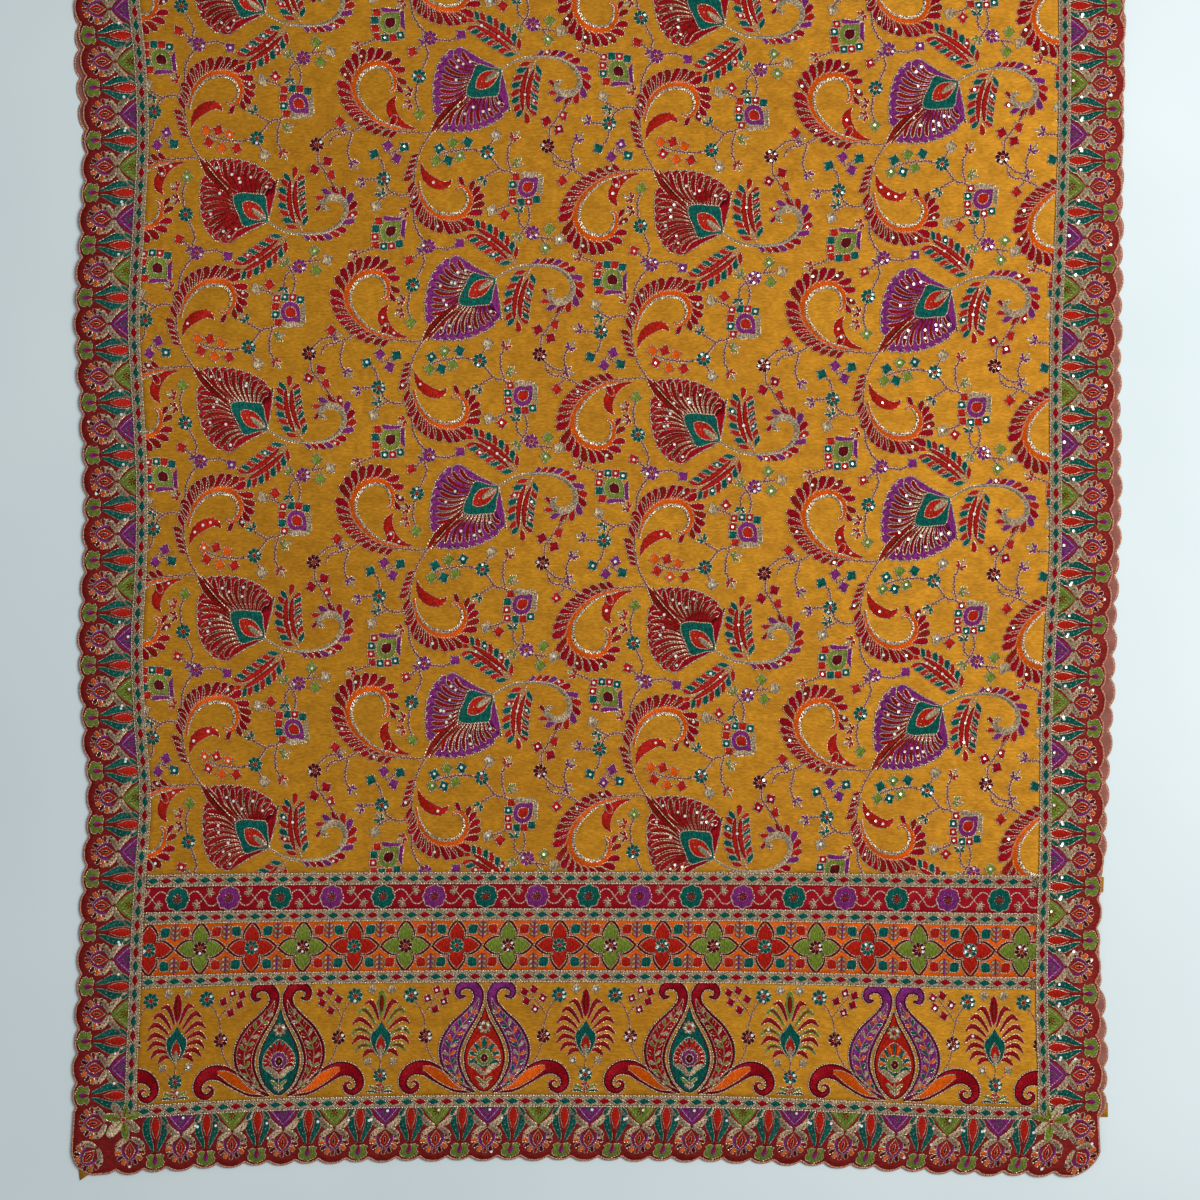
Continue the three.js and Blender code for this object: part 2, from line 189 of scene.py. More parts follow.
class Nodes:
    """A material's node tree, with a Principled shader to link to."""

    def __init__(self, name, **shader):
        self.material = bpy.data.materials.new(name)
        self.material.use_nodes = True
        self.tree = self.material.node_tree
        self.shader = self.tree.nodes["Principled BSDF"]
        for socket, value in shader.items():
            self.shader.inputs[socket.replace("_", " ")].default_value = value

    def add(self, kind, settings=None, **inputs):
        """A node with its settings and inputs. An input is named, or numbered as i0, i1 and so on."""
        node = self.tree.nodes.new(kind)
        for key, value in (settings or {}).items():
            setattr(node, key, value)
        for key, value in inputs.items():
            socket = node.inputs[int(key[1:]) if key[1:].isdigit() else key.replace("_", " ")]
            if isinstance(value, bpy.types.NodeSocket):
                self.tree.links.new(value, socket)
            else:
                socket.default_value = value
        return node

    def link(self, value, socket):
        self.tree.links.new(value, self.shader.inputs[socket])

    def ramp(self, value, stops):
        node = self.add("ShaderNodeValToRGB", Fac=value)
        elements = node.color_ramp.elements
        while len(elements) < len(stops):
            elements.new(0.5)
        for element, (place, colour) in zip(elements, stops):
            element.position, element.color = place, colour
        return node.outputs["Color"]

    def blend(self, factor, first, second, how="MIX"):
        settings = {"data_type": "RGBA", "blend_type": how}
        return self.add("ShaderNodeMix", settings, i0=factor, i6=first, i7=second).outputs[2]

    def scaled(self, source, scale):
        return self.add("ShaderNodeMapping", i0=source, i3=scale).outputs[0]

    def noise(self, vector, scale, detail=3.0):
        return self.add("ShaderNodeTexNoise", Vector=vector, Scale=scale, Detail=detail).outputs["Fac"]

    def wave(self, vector, scale, distortion=0.0, direction="X"):
        settings = {"wave_type": "BANDS", "bands_direction": direction}
        inputs = {"Vector": vector, "Scale": scale, "Distortion": distortion}
        return self.add("ShaderNodeTexWave", settings, **inputs).outputs["Fac"]

    def bump(self, height, strength, distance, under=None):
        extra = {"Normal": under} if under else {}
        node = self.add("ShaderNodeBump", Strength=strength, Distance=distance, Height=height, **extra)
        return node.outputs["Normal"]


def grey(value):
    return (value, value, value, 1)


# painted sheen: tones that lighten and darken the ground along the watered lustre's streaks
PAINTED_WATERED_SHEEN = [(0.36, (0.80, 0.76, 0.70, 1)), (0.5, (0.96, 0.96, 0.95, 1)), (0.62, (1.14, 1.13, 1.06, 1))]
PATCHY = [(0.35, (0.9, 0.87, 0.84, 1)), (0.65, grey(1))]


def ground_material(name, colour, dark, streaks=1.0, gloss=0.5, lustre=0.2):
    """Woven ground: fine weft streaks, a watery lustre painted into the colour as lighter and darker streaks
    of sheen, and a close weave.
    """
    nodes = Nodes(name, Metallic=lustre, Sheen_Weight=0.03, Sheen_Roughness=0.35, Specular_IOR_Level=0.08)
    place = nodes.add("ShaderNodeTexCoord").outputs["Object"]
    weft = nodes.noise(nodes.scaled(place, (210, 620, 1)), 1.0, 5.0)
    watered_sheen = nodes.noise(nodes.scaled(place, (60, 95, 1)), 1.0, 9.0)
    patches = nodes.noise(place, 5.0, 2.0)
    pale = nodes.ramp(weft, [(0.34, grey(0)), (0.66, grey(1))])
    base = nodes.blend(pale, dark, colour)
    # painted sheen: the watered lustre multiplied into the base colour, as strong as streaks says
    base = nodes.blend(streaks, base, nodes.ramp(watered_sheen, PAINTED_WATERED_SHEEN), "MULTIPLY")
    base = nodes.blend(1.0, base, nodes.ramp(patches, PATCHY), "MULTIPLY")
    nodes.link(base, "Base Color")
    weave = nodes.wave(place, 900, 0.6, "Y")
    threads = nodes.bump(weave, 0.25, 0.0002)
    pucker = nodes.noise(nodes.scaled(place, (90, 230, 1)), 1.0, 4.0)
    nodes.link(nodes.bump(pucker, 0.55, 0.0011, threads), "Normal")
    rough = nodes.add("ShaderNodeMapRange", i0=watered_sheen, i3=gloss + 0.1, i4=gloss - 0.1)
    nodes.link(rough.outputs[0], "Roughness")
    return nodes.material


def thread_material(name, colour, dark, gloss, metal, twist):
    """Twisted cord, or laid stitches: fine ridges across the stroke, with slight changes of dye. Noise mixes
    the colour with the dark one: painted highlights and painted shade between strands on a cord, painted
    shade between rows of stitches on laid thread.
    """
    nodes = Nodes(name, Metallic=metal, Sheen_Weight=0.02, Sheen_Roughness=0.4, Specular_IOR_Level=0.1)
    place = nodes.add("ShaderNodeTexCoord")
    if twist:
        strand = nodes.wave(place.outputs["UV"], 0.26, 3.0, "DIAGONAL")
        # painted highlights and painted shade: noise mixes the cord's pale colour with its dark one
        glints = nodes.noise(nodes.scaled(place.outputs["UV"], (0.85, 0.6, 1)), 1.0, 2.0)
        mixed = nodes.ramp(glints, [(0.4, dark), (0.62, colour)])
        relief = nodes.bump(strand, 0.8, 0.0005)
    else:
        ridges = nodes.wave(nodes.scaled(place.outputs["UV"], (1, 0.15, 1)), 0.85, 1.2)
        rows = nodes.noise(nodes.scaled(place.outputs["UV"], (0.75, 0.3, 1)), 1.0, 3.0)
        dye = nodes.noise(place.outputs["Object"], 70.0, 3.0)
        # painted shade: the dark colour where rows of stitches meet
        mixed = nodes.ramp(rows, [(0.38, dark), (0.66, colour)])
        faded = nodes.ramp(dye, [(0.3, grey(0.84)), (0.6, grey(1))])
        mixed = nodes.blend(1.0, mixed, faded, "MULTIPLY")
        relief = nodes.bump(ridges, 0.5, 0.0003, nodes.bump(rows, 0.5, 0.0006))
    nodes.link(mixed, "Base Color")
    nodes.link(relief, "Normal")
    wear = nodes.noise(place.outputs["Object"], 45.0, 2.0)
    rough = nodes.add("ShaderNodeMapRange", i0=wear, i3=gloss - 0.08, i4=gloss + 0.1)
    nodes.link(rough.outputs[0], "Roughness")
    return nodes.material


def toned_material(name, scale, detail, stops, **shader):
    """A plain material with slight changes of tone."""
    nodes = Nodes(name, **shader)
    place = nodes.add("ShaderNodeTexCoord").outputs["Object"]
    nodes.link(nodes.ramp(nodes.noise(place, scale, detail), stops), "Base Color")
    return nodes.material


def sequin_material():
    stops = [(0.3, linear(236, 226, 205)), (0.6, linear(250, 250, 248))]
    shader = {"Metallic": 0.35, "Roughness": 0.2, "Coat_Weight": 0.8, "Coat_Roughness": 0.06}
    return toned_material("sequin_foil", 260.0, 2.0, stops, **shader)


def floor_material():
    stops = [(0.35, linear(206, 217, 219)), (0.65, linear(214, 224, 225))]
    return toned_material("paper", 2.2, 3.0, stops, Roughness=0.9, Specular_IOR_Level=0.2)


MUSTARD = ground_material("mustard_ground", linear(195, 136, 34), linear(168, 112, 22), 0.6, 0.45, 0.25)
MAROON = ground_material("maroon_ground", linear(134, 32, 29), linear(104, 20, 19), 0.7, 0.6)
CRIMSON = ground_material("crimson_ground", linear(160, 8, 32), linear(126, 6, 22), 0.6, 0.6)
ORANGE = ground_material("orange_ground", linear(222, 96, 2), linear(196, 76, 0), 0.6, 0.5)
REVERSE = ground_material("reverse_ground", linear(158, 86, 74), linear(132, 98, 92), 0.8, 0.7)
# the braid's dark colour is painted shade between its strands
BRAID = thread_material("braid_ecru", linear(192, 172, 140), linear(66, 44, 40), 0.42, 0.75, True)

THREAD_ROWS = [  # thread, material, colour, its dark (painted shade between stitches and strands; on the stem cord partly its own dark red), gloss, metal, twisted, the record's slot
    ("gold", "gold_cord", (246, 224, 190), (84, 48, 42), 0.34, 0.7, True, "gold_cord"),
    ("ecru", "ecru_silk", (208, 188, 152), (122, 100, 76), 0.42, 0.75, False, "ecru_thread"),
    ("crimson", "crimson_silk", (176, 6, 26), (116, 2, 14), 0.45, 0.45, False, "crimson_thread"),
    ("scarlet", "scarlet_silk", (198, 38, 16), (146, 16, 10), 0.45, 0.45, False, "scarlet_thread"),
    ("rust", "rust_silk", (164, 34, 12), (104, 14, 8), 0.45, 0.45, False, "scarlet_thread"),
    ("maroon", "maroon_silk", (104, 12, 18), (64, 4, 10), 0.45, 0.45, False, "maroon_cloth"),
    ("orange", "orange_silk", (228, 100, 2), (196, 70, 2), 0.45, 0.45, False, "orange_thread"),
    ("teal", "teal_silk", (4, 106, 92), (2, 60, 56), 0.45, 0.45, False, "teal_thread"),
    ("purple", "purple_silk", (146, 48, 126), (98, 24, 88), 0.45, 0.45, False, "purple_thread"),
    ("green", "green_silk", (134, 150, 54), (88, 108, 32), 0.45, 0.45, False, "green_thread"),
    ("stem", "stem_cord", (226, 184, 154), (84, 24, 32), 0.4, 0.2, True, "gold_cord"),
    ("edge", "edge_cord", (222, 168, 134), (136, 72, 58), 0.4, 0.05, True, "gold_cord"),
]
THREADS = {}  # each thread's material and slot
for thread, name, colour, dark, gloss, metal, twisted, slot in THREAD_ROWS:
    material = thread_material(name, linear(*colour), linear(*dark), gloss, metal, twisted)
    THREADS[thread] = (material, slot)
SEQUIN = sequin_material()


# ---- Stitches ----------------------------------------------------------------------------------
# A motif is drawn on its own flat ground in millimetres: x, y and height above the cloth.


def spline(points, count, closed=False):
    """Evenly spaced places on a smooth line through a few points."""
    points = np.asarray(points, float)
    if closed:
        padded = np.vstack([points[-1:], points, points[:2]])
    else:
        padded = np.vstack([2 * points[0] - points[1], points, 2 * points[-1] - points[-2]])
    spans = len(padded) - 3
    at = np.linspace(0, spans, spans * 12 + 1)
    i = np.minimum(at.astype(int), spans - 1)
    t = (at - i)[:, None]
    a, b, c, d = padded[i], padded[i + 1], padded[i + 2], padded[i + 3]
    fine = 0.5 * (2 * b + (c - a) * t + (2 * a - 5 * b + 4 * c - d) * t**2 + (3 * b - a - 3 * c + d) * t**3)
    steps = np.linalg.norm(np.diff(fine[:, :2], axis=0), axis=1)
    length = np.concatenate([[0], np.cumsum(steps)])
    wanted = np.linspace(0, length[-1], count + 1 if closed else count)
    line = np.stack([np.interp(wanted, length, fine[:, k]) for k in range(fine.shape[1])], axis=1)
    return line[:-1] if closed else line


def normals(path, closed=False):
    if closed:
        step = np.roll(path, -1, axis=0) - np.roll(path, 1, axis=0)
    else:
        step = np.gradient(path, axis=0)
    step = step / np.maximum(np.linalg.norm(step, axis=1, keepdims=True), 1e-9)
    return np.stack([-step[:, 1], step[:, 0]], axis=1)


def across_unit(root, tip):
    """The line from root to tip, turned a quarter to its left."""
    return np.array([-(tip - root)[1], (tip - root)[0]])


def bowed(root, tip, bend, shares):
    """A bowed line from root to tip, at shares of its length. Bend is its rise over its length."""
    root, tip = np.asarray(root, float), np.asarray(tip, float)
    rise = bend * np.sin(math.pi * shares)
    return root + np.outer(shares, tip - root) + np.outer(rise, across_unit(root, tip))


def eased(steps):
    """Shares from 0 to 1, close together at both ends."""
    return 0.5 - 0.5 * np.cos(np.linspace(0, math.pi, steps + 1))


def mirrored(half):
    """A closed outline from one side of it, which starts and ends on the axis."""
    half = np.asarray(half, float)
    return np.vstack([half, (half * [-1, 1])[-2:0:-1]])


MIRRORED = (np.array((-1, 1, 1)), np.array((1, 1, 1)))  # for rows of x, y and half width
LOBE_BASE, LOBE_CORD = 0.1, 0.36
CORD_CROWN = 0.75
RIM = 0.5


class Motif:
    """Raised stitches by thread, and the places of sequins."""

    def __init__(self):
        self.parts = {}
        self.sequins = []

    def add(self, thread, points, faces, uv):
        self.parts.setdefault(thread, []).append((points, faces, uv))

    def sequin(self, place, chance):
        """A place for a sequin, with the chance that it holds one at mid width."""
        self.sequins.append((*place, chance))

    def ribbon(self, thread, path, half, base=0.1, crown=0.5, strips=2, closed=False):
        """A rounded band along a path, half wide on each side."""
        path = np.asarray(path, float)
        count = len(path)
        half = np.broadcast_to(np.asarray(half, float), (count,))
        offsets = np.linspace(-1, 1, strips + 1)
        flat = path[:, None, :] + normals(path, closed)[:, None, :] * (half[:, None] * offsets)[..., None]
        height = base + crown * (1 - offsets**2) * np.minimum(1, half[:, None] / 0.4)
        points = np.concatenate([flat, height[..., None]], axis=2).reshape(-1, 3)
        run = np.arange(count if closed else count - 1)
        i, j = np.meshgrid(run, np.arange(strips), indexing="ij")
        k = (i + 1) % count
        faces = np.stack([i, k, k, i], axis=-1) * (strips + 1) + np.stack([j, j, j + 1, j + 1], axis=-1)
        steps = np.linalg.norm(np.diff(path, axis=0), axis=1)
        length = np.concatenate([[0], np.cumsum(steps)])
        uv = np.stack(np.broadcast_arrays(length[:, None], half[:, None] * offsets), axis=-1).reshape(-1, 2)
        self.add(thread, points, faces.reshape(-1, 4), uv)

    def cord(self, path, half=0.5, thread="gold", base=0.15, closed=False):
        self.ribbon(thread, path, half, base, CORD_CROWN, 2, closed)

    def fill(self, thread, outline, base=0.05, crown=0.4, centre=None):
        """A padded patch inside an outline that its centre sees all of."""
        outline = np.asarray(outline, float)
        after = np.roll(outline, -1, axis=0)
        area = np.sum(outline[:, 0] * after[:, 1] - outline[:, 1] * after[:, 0])
        outline = outline if area > 0 else outline[::-1]
        centre = outline.mean(axis=0) if centre is None else np.asarray(centre, float)
        rings = [(1, base), (0.72, base + 0.85 * crown), (0.05, base + crown)]
        m = len(outline)
        layers = [np.column_stack([centre + (outline - centre) * r, np.full(m, h)]) for r, h in rings]
        points = np.vstack(layers)
        i = np.arange(m)
        j = (i + 1) % m
        faces = [np.stack([i, j, j + m, i + m], axis=1) + k * m for k in range(len(rings) - 1)]
        self.add(thread, points, np.vstack(faces), points[:, :2].copy())

    def patch(self, thread, outline, crown=0.4, half=0.5, base=0.05, centre=None):
        """A filled patch with a gold cord laid round it."""
        self.fill(thread, outline, base, crown, centre)
        self.cord(outline, half, base=base + 0.1, closed=True)

    def leaf(self, thread, root, tip, width, bend=0.0, blunt=0.5, edge="gold", base=0.1, steps=6, cover=0.5):
        """A petal from root to tip, as a coloured stroke on a wider one of the edging's colour."""
        path = bowed(root, tip, bend, eased(steps))
        shifted = eased(steps) ** (0.6 + blunt)
        shape = (4 * shifted * (1 - shifted)) ** (0.5 if blunt < 0.9 else 0.42)
        shape[0], shape[-1] = 0.14, 0.14
        if edge:
            self.ribbon(edge, path, width / 2 * shape + cover, base - 0.05, 0.34)
        self.ribbon(thread, path, np.maximum(width / 2 * shape - 0.15, 0.05), base + 0.16, 0.5)

    def lobe(self, thread, root, tip, width, bend=0.0):
        """A blunt petal with a cord laid round it, clear of the petals beside it."""
        path = bowed(root, tip, bend, eased(5))
        shifted = eased(5) ** 1.45
        shape = (4 * shifted * (1 - shifted)) ** 0.42
        shape[0], shape[-1] = 0.2, 0.3
        half = width / 2 * shape
        self.ribbon(thread, path, half, LOBE_BASE, 0.45)
        edge = normals(path) * half[:, None]
        round_it = np.vstack([path + edge, (path - edge)[::-1]])
        self.ribbon("gold", round_it, LOBE_CORD, LOBE_BASE + 0.35, 0.5)

    def tube(self, thread, points, steps, widths=None, half=0.5, base=0.1, crown=0.5, strips=2):
        """A band along a smooth line. Widths, one for each point, are half widths."""
        if widths is None:
            path = spline(points, steps)
            self.ribbon(thread, path, half, base, crown, strips)
            return path
        line = spline(np.column_stack([points, widths]), steps)
        self.ribbon(thread, line[:, :2], np.maximum(line[:, 2], 0.05), base, crown, strips)
        return line

    def rimmed(self, thread, rows, steps, rim_base, rim_crown, **shape):
        """A band on a wider gold one. Rows hold x, y and half width."""
        rows = np.asarray(rows, float)
        line = self.tube(thread, rows[:, :2], steps, rows[:, 2], **shape)
        self.ribbon("gold", line[:, :2], line[:, 2] + RIM, rim_base, rim_crown)
        return line

    def knots(self, thread, places, radius):
        """Small dots on top of a band."""
        for place in places:
            self.disc(thread, place, radius, 0.8, 0.25, 5)

    def disc(self, thread, centre, radius, base=0.2, crown=0.4, sides=8):
        self.fill(thread, ring(centre, radius, sides), base, crown)


def ring(centre, radius, sides, squash=1.0, lobes=0, depth=0.0, turn=0.0):
    """A closed round outline, lobed if asked."""
    angle = np.linspace(0, 2 * math.pi, sides, endpoint=False)
    r = radius * (1 + depth * np.abs(np.sin(lobes * angle / 2)) - depth / 2)
    x, y = r * np.cos(angle + turn), r * squash * np.sin(angle + turn)
    return np.asarray(centre, float) + np.stack([x, y], axis=1)


def turned(points, degrees):
    """Points turned anticlockwise about the motif's own origin."""
    a = math.radians(degrees)
    matrix = np.array([[math.cos(a), math.sin(a)], [-math.sin(a), math.cos(a)]])
    return np.asarray(points, float) @ matrix


def from_polar(centre, radius, degrees):
    a = np.radians(degrees)
    return np.stack([centre[0] + radius * np.cos(a), centre[1] + radius * np.sin(a)], axis=-1)


# ---- Small motifs ------------------------------------------------------------------------------


def add_flower(motif, at, radius=6.8, petal="teal", heart="scarlet", petals=8, base=0.1):
    """Small flower of looped petals round a dot."""
    edge = "maroon" if petal == "ecru" else "gold"
    for k in range(petals):
        angle = 360 * k / petals + 10
        root, tip = from_polar(at, 0.24 * radius, angle), from_polar(at, radius, angle)
        motif.leaf(petal, root, tip, 0.56 * radius, blunt=0.9, edge=edge, base=base, steps=4, cover=0.5)
    motif.disc(heart, at, 0.27 * radius, base + 0.4, 0.5, 6)
    large = radius > 5
    motif.sequin(from_polar(at, 0.62 * radius, 30), 0.75 if large else 0.3)
    for angle in (110, 190, 270, 335) if large else ():
        motif.sequin(from_polar(at, 0.62 * radius, angle), 0.2)


BUD_OUTLINE = np.array([
    (0.54, 0.04), (0.3, 0.2), (0.2, 0.44), (0, 0.6), (-0.2, 0.44), (-0.3, 0.2), (-0.54, 0.04),
    (-0.28, -0.22), (0, -0.5), (0.28, -0.22),
])


def add_bud(motif, at, thread, size=10.6, turn=0.0):
    """A lozenge bud with a cord round it."""
    motif.patch(thread, turned(BUD_OUTLINE * size, turn) + at, crown=0.5, base=0.1)
    motif.sequin(at, 0.3)


SPRIG_SIZE = 9.5


def add_sprig(motif, at, turn, thread):
    """Thin leaves that fork from a stem's end."""
    for angle, share in ((-48, 0.75), (0, 1.0), (46, 0.75), (-84, 0.5), (86, 0.5)):
        tip = from_polar(at, SPRIG_SIZE * share, turn + angle)
        motif.leaf(thread if angle else "ecru", at, tip, 2.3, blunt=0.5, steps=3, cover=0.45)


def add_stem(motif, points, half=1.3):
    """A twisted stem with small thorns on alternate sides."""
    length = np.linalg.norm(np.diff(np.asarray(points, float), axis=0), axis=1).sum()
    path = motif.tube("stem", points, max(4, int(length / 2.4)), half=half, base=0.05, crown=0.7)
    motif.ribbon("maroon", path, half * 0.2, 0.72, 0.2)
    out = normals(path)
    for k, j in enumerate(range(2, len(path) - 2, 4)):
        way = out[j] * (1 if k % 2 else -1) + 0.8 * np.array([out[j][1], -out[j][0]])
        motif.leaf("stem", path[j], path[j] + way * 3.2, 1.7, edge=None, steps=3, base=0.2)


# ---- The field's pattern -----------------------------------------------------------------------
# One unit hangs on its fan's apex. x runs across the cloth and y along it, in millimetres.

FAN_EYE = [
    (0, 0.6), (-1.6, 12), (-3.8, 23.4), (-14, 25), (-25, 26), (-32.6, 23), (-31, 14), (-27, 6),
    (-21.6, -4.6), (-9, -1.4),
]
FAN_HEART = [(-2.4, 1.6), (-5.4, 10), (-12.6, 17), (-23.4, 17.6), (-22, 8.4), (-16, 2.4)]
FAN_TIP = (-66.4, 58.4)
FAN_CORNERS = [(7.4, 38.4), (5.4, 24), (2.8, 12), (0.2, -0.4), (-9, -5), (-19, -10), (-28, -16)]
RIB_COUNT = 9
LOWER_ENDS = [(-35, -17.4), (-48, -14), (-57, -3), (-61, 11), (-62.4, 25), (-61.6, 40)]
UPPER_ENDS = [(-57, 55.4), (-44, 56.2), (-29, 54.6), (-14.6, 49.6), (-3, 42), (2.2, 32.4)]
RIB_ROWS = [  # first root, last root, line of the ends, bend, hook at the end, the edge's next corners
    ((-19.6, -5.4), (-32.4, 20.6), LOWER_ENDS, -0.11, 3.0, [FAN_TIP]),
    ((-30.6, 25.4), (-4.4, 23.6), UPPER_ENDS, 0.10, -3.0, FAN_CORNERS),
]
SCROLL = [
    (0, 0, 0.5), (7.6, -4.5, 0.6), (17.8, -9.3, 0.8), (33.1, -11.6, 1.1), (48.4, -11, 1.5),
    (59.8, -7, 1.8), (67.5, 0, 2.0), (71.3, 8.3, 2.4), (69.4, 17.2, 2.9), (62.4, 22.3, 3.3),
    (54.1, 21.6, 3.2), (49.2, 16.6, 2.6), (51, 11.6, 1.7), (55.2, 11.2, 0.7),
]
CURL_OVER = [
    (-10, 44, 0.6), (-8.3, 54.7, 1.7), (-3.2, 64.9, 2.5), (5.7, 73.2, 3.0), (17.2, 77, 3.4),
    (28.6, 75.7, 3.5), (35.8, 68.7, 3.2), (37.6, 60, 2.8), (34.4, 52.4, 2.2), (28.4, 48.6, 1.3),
    (24.2, 51.4, 0.6),
]
CURL_OVER_STEM = [(0, 0), (-6, 8.5), (-11, 20), (-14, 33), (-14.6, 46)]
CURL_OVER_CRESCENT = [
    (-8.6, 28, 0.3), (-6, 36, 2.6), (0.6, 43.6, 4.6), (10.6, 47.8, 4.0), (17, 46.2, 2.2), (20, 42.4, 0.3),
]
CURL_BESIDE = [
    (-24, -2.6, 0.6), (-35, -4.8, 1.5), (-46.5, -8.6, 2.1), (-56.6, -16.3, 2.6), (-65, -26, 3.0),
    (-69.6, -37.4, 3.3), (-68.2, -48.6, 3.6), (-61.7, -57.6, 3.7), (-51.6, -62, 3.5), (-41.4, -61.2, 3.1),
    (-35, -55, 2.7), (-32.8, -46.6, 2.3), (-33.8, -40, 1.6), (-38, -37.6, 0.7),
]
CURL_BESIDE_STEM = [(0, 0), (-10, 0.2), (-22, -0.8), (-35, -2.4), (-46, -6)]
CURL_BESIDE_CRESCENT = [
    (-14, -3.4, 0.3), (-25, -6.6, 2.4), (-33.6, -13.6, 4.2), (-37, -22.6, 4.4), (-35.4, -29, 2.6),
    (-31.8, -32.8, 0.3),
]
CURL_FOOT = (-64.6, 57.4)  # where both curls' own points start from, by the fan's tip


def bent(root, end, bend, share, hook=0.0):
    """A bowed line from a root towards an end, as far as the share says, with a hooked tip."""
    s = 1 - (1 - np.linspace(0, 1, 11)) ** 1.5
    hooked = np.outer(hook / np.linalg.norm(end - root) * s**4, across_unit(root, end))
    return bowed(root, end, bend, s * share) + hooked, s


def add_fan(motif, ground, accent, share, slim):
    """A feathered fan: hooked ribs round a teal eye, each with its own scallop at the fan's edge."""
    edge, ribs = [], []
    for first, last, ends, bend, hook, closing in RIB_ROWS:
        line = spline(ends, 60)
        reach = np.linalg.norm(np.diff(line, axis=0), axis=1).sum() / RIB_COUNT / 2
        for k in range(RIB_COUNT):
            place = (k + 0.5) / RIB_COUNT
            root = np.array(first) + place * (np.array(last) - first)
            end = line[int(round(place * 59))]
            path, _ = bent(root, end, bend, 0.875)
            way = math.degrees(math.atan2(*(end - path[-1])[::-1]))
            edge += [from_polar(path[-1], reach + 2.2, way + turn) for turn in (62, 22, -22, -62)]
            ribs.append((root, end, bend, hook, reach, k))
        edge += closing
    edge = np.array(edge)
    motif.fill(ground, edge, 0.02, 0.3, (-20, 14))
    motif.cord(edge, 0.65, base=0.2, closed=True)
    for root, end, bend, hook, reach, k in ribs:
        line, s = bent(root, end, bend, share, hook)
        half = (0.95 + (reach - slim) * s) * np.sqrt(1 - np.clip((s - 0.78) / 0.222, 0, 1) ** 2)
        motif.ribbon("gold", line, half + 0.35, 0.25, 0.3)
        motif.ribbon(accent, line, half - 0.4, 0.42, 0.45)
        motif.ribbon("maroon", line[:7], 0.3 + 0.1 * s[:7], 0.66, 0.3)
        if k % 2 == 0:
            motif.ribbon("crimson", line[5:], np.maximum(half[5:] - 0.9, 0.1), 0.6, 0.4)
        for n in (3 + k % 3, 7 - k % 4):
            motif.sequin(line[n], 0.3)
    for root, end, width in (((-33, 24), (-65, 57), 7.4), ((-29, 27), (-61, 57), 3.0)):
        motif.leaf(accent, root, end, width, 0.05, 0.6, base=0.5, steps=8)
    motif.leaf("maroon", (-38, 29), (-58, 50), 2.2, 0.05, 0.5, base=0.85, steps=6)
    motif.patch("teal", spline(FAN_EYE, 30, closed=True), crown=0.35, base=0.6, centre=(-16, 12))
    motif.patch("scarlet", spline(FAN_HEART, 18, closed=True), crown=0.3, base=0.95)
    motif.leaf("ecru", (-2.6, 1.8), (-15, 11), 5.2, 0, 0.9, base=1.2)
    for spot in ((-19.5, 15.5), (-15, 15.8), (-18.5, 11)):
        motif.disc("gold", spot, 0.8, 1.25, 0.3, 6)


def add_lobes(motif, line, side, count, first, last, sizes, threads, slant, fat):
    """Petals along the outer side of a curved band. Line holds x, y and half width."""
    path, half = line[:, :2], line[:, 2]
    outward = normals(path) * side
    tangent = np.stack([normals(path)[:, 1], -normals(path)[:, 0]], axis=1)
    lean = math.radians(slant)
    for k in range(count):
        share = first + (last - first) * k / (count - 1)
        j = int(share * (len(path) - 1))
        size = np.interp(share, *zip(*sizes))
        way = tangent[j] * math.cos(lean) + outward[j] * math.sin(lean)
        root = path[j] + outward[j] * half[j] * 0.75 - tangent[j] * 0.12 * size
        motif.lobe(threads[k % len(threads)], root, root + way * size, size * fat, -0.1 * side)
        if k % 3 == 1:
            motif.sequin(root + way * size * 0.55, 0.3)


def add_scroll(motif):
    line = motif.rimmed("ecru", SCROLL, 46, 0.05, 0.4, base=0.2, crown=0.8)
    sizes = [(0.3, 7.5), (0.45, 10.5), (0.6, 12.5), (0.75, 11.5), (0.86, 10), (0.97, 7)]
    add_lobes(motif, line, -1, 15, 0.3, 0.95, sizes, ["purple", "scarlet", "crimson"], 38, 0.56)


def add_frond(motif, root, tip, bend):
    """A feather: two crimson strokes with lobes down both sides and three at the tip."""
    path = bowed(root, tip, bend, np.linspace(0, 1, 33))
    out = normals(path)
    for way in (-1, 1):
        for k in range(8):
            j = 2 + int(k * 3.5)
            swell = math.sin(math.pi * min(0.84, 0.24 + 0.082 * k)) ** 0.8
            start = path[j] + out[j] * way * (3.4 * swell)
            forward = np.array([out[j][1], -out[j][0]])
            tip_way = forward * 0.7 + out[j] * way * 0.72
            size = 12.4 * (0.5 + 0.5 * swell)
            thread = ("teal", "scarlet")[(k + (way > 0)) % 2]
            motif.lobe(thread, start, start + tip_way * size, size * 0.5)
            if k in (2, 5):
                motif.sequin(start + tip_way * size * 0.6, 0.3)
        half = 2.6 * np.sin(math.pi * np.linspace(0.05, 0.93, 23)) ** 0.55
        core = path[5:28] + out[5:28] * way * 2.75
        motif.ribbon("gold", core, half + 0.5, 0.4, 0.35)
        motif.ribbon("crimson", core, half - 0.15, 0.6, 0.5)
        motif.ribbon("scarlet", core[2:21], np.maximum(half[2:21] - 1.1, 0.2), 0.95, 0.25)
    forward = (path[32] - path[27]) / np.linalg.norm(path[32] - path[27])
    motif.leaf("scarlet", path[28], path[28] + forward * 10.5, 5.2, 0, 0.95)
    motif.ribbon("stem", path[:7], 1.0, 0.1, 0.6)
    for n in (9, 14, 19, 24):
        motif.sequin(path[n], 0.3)


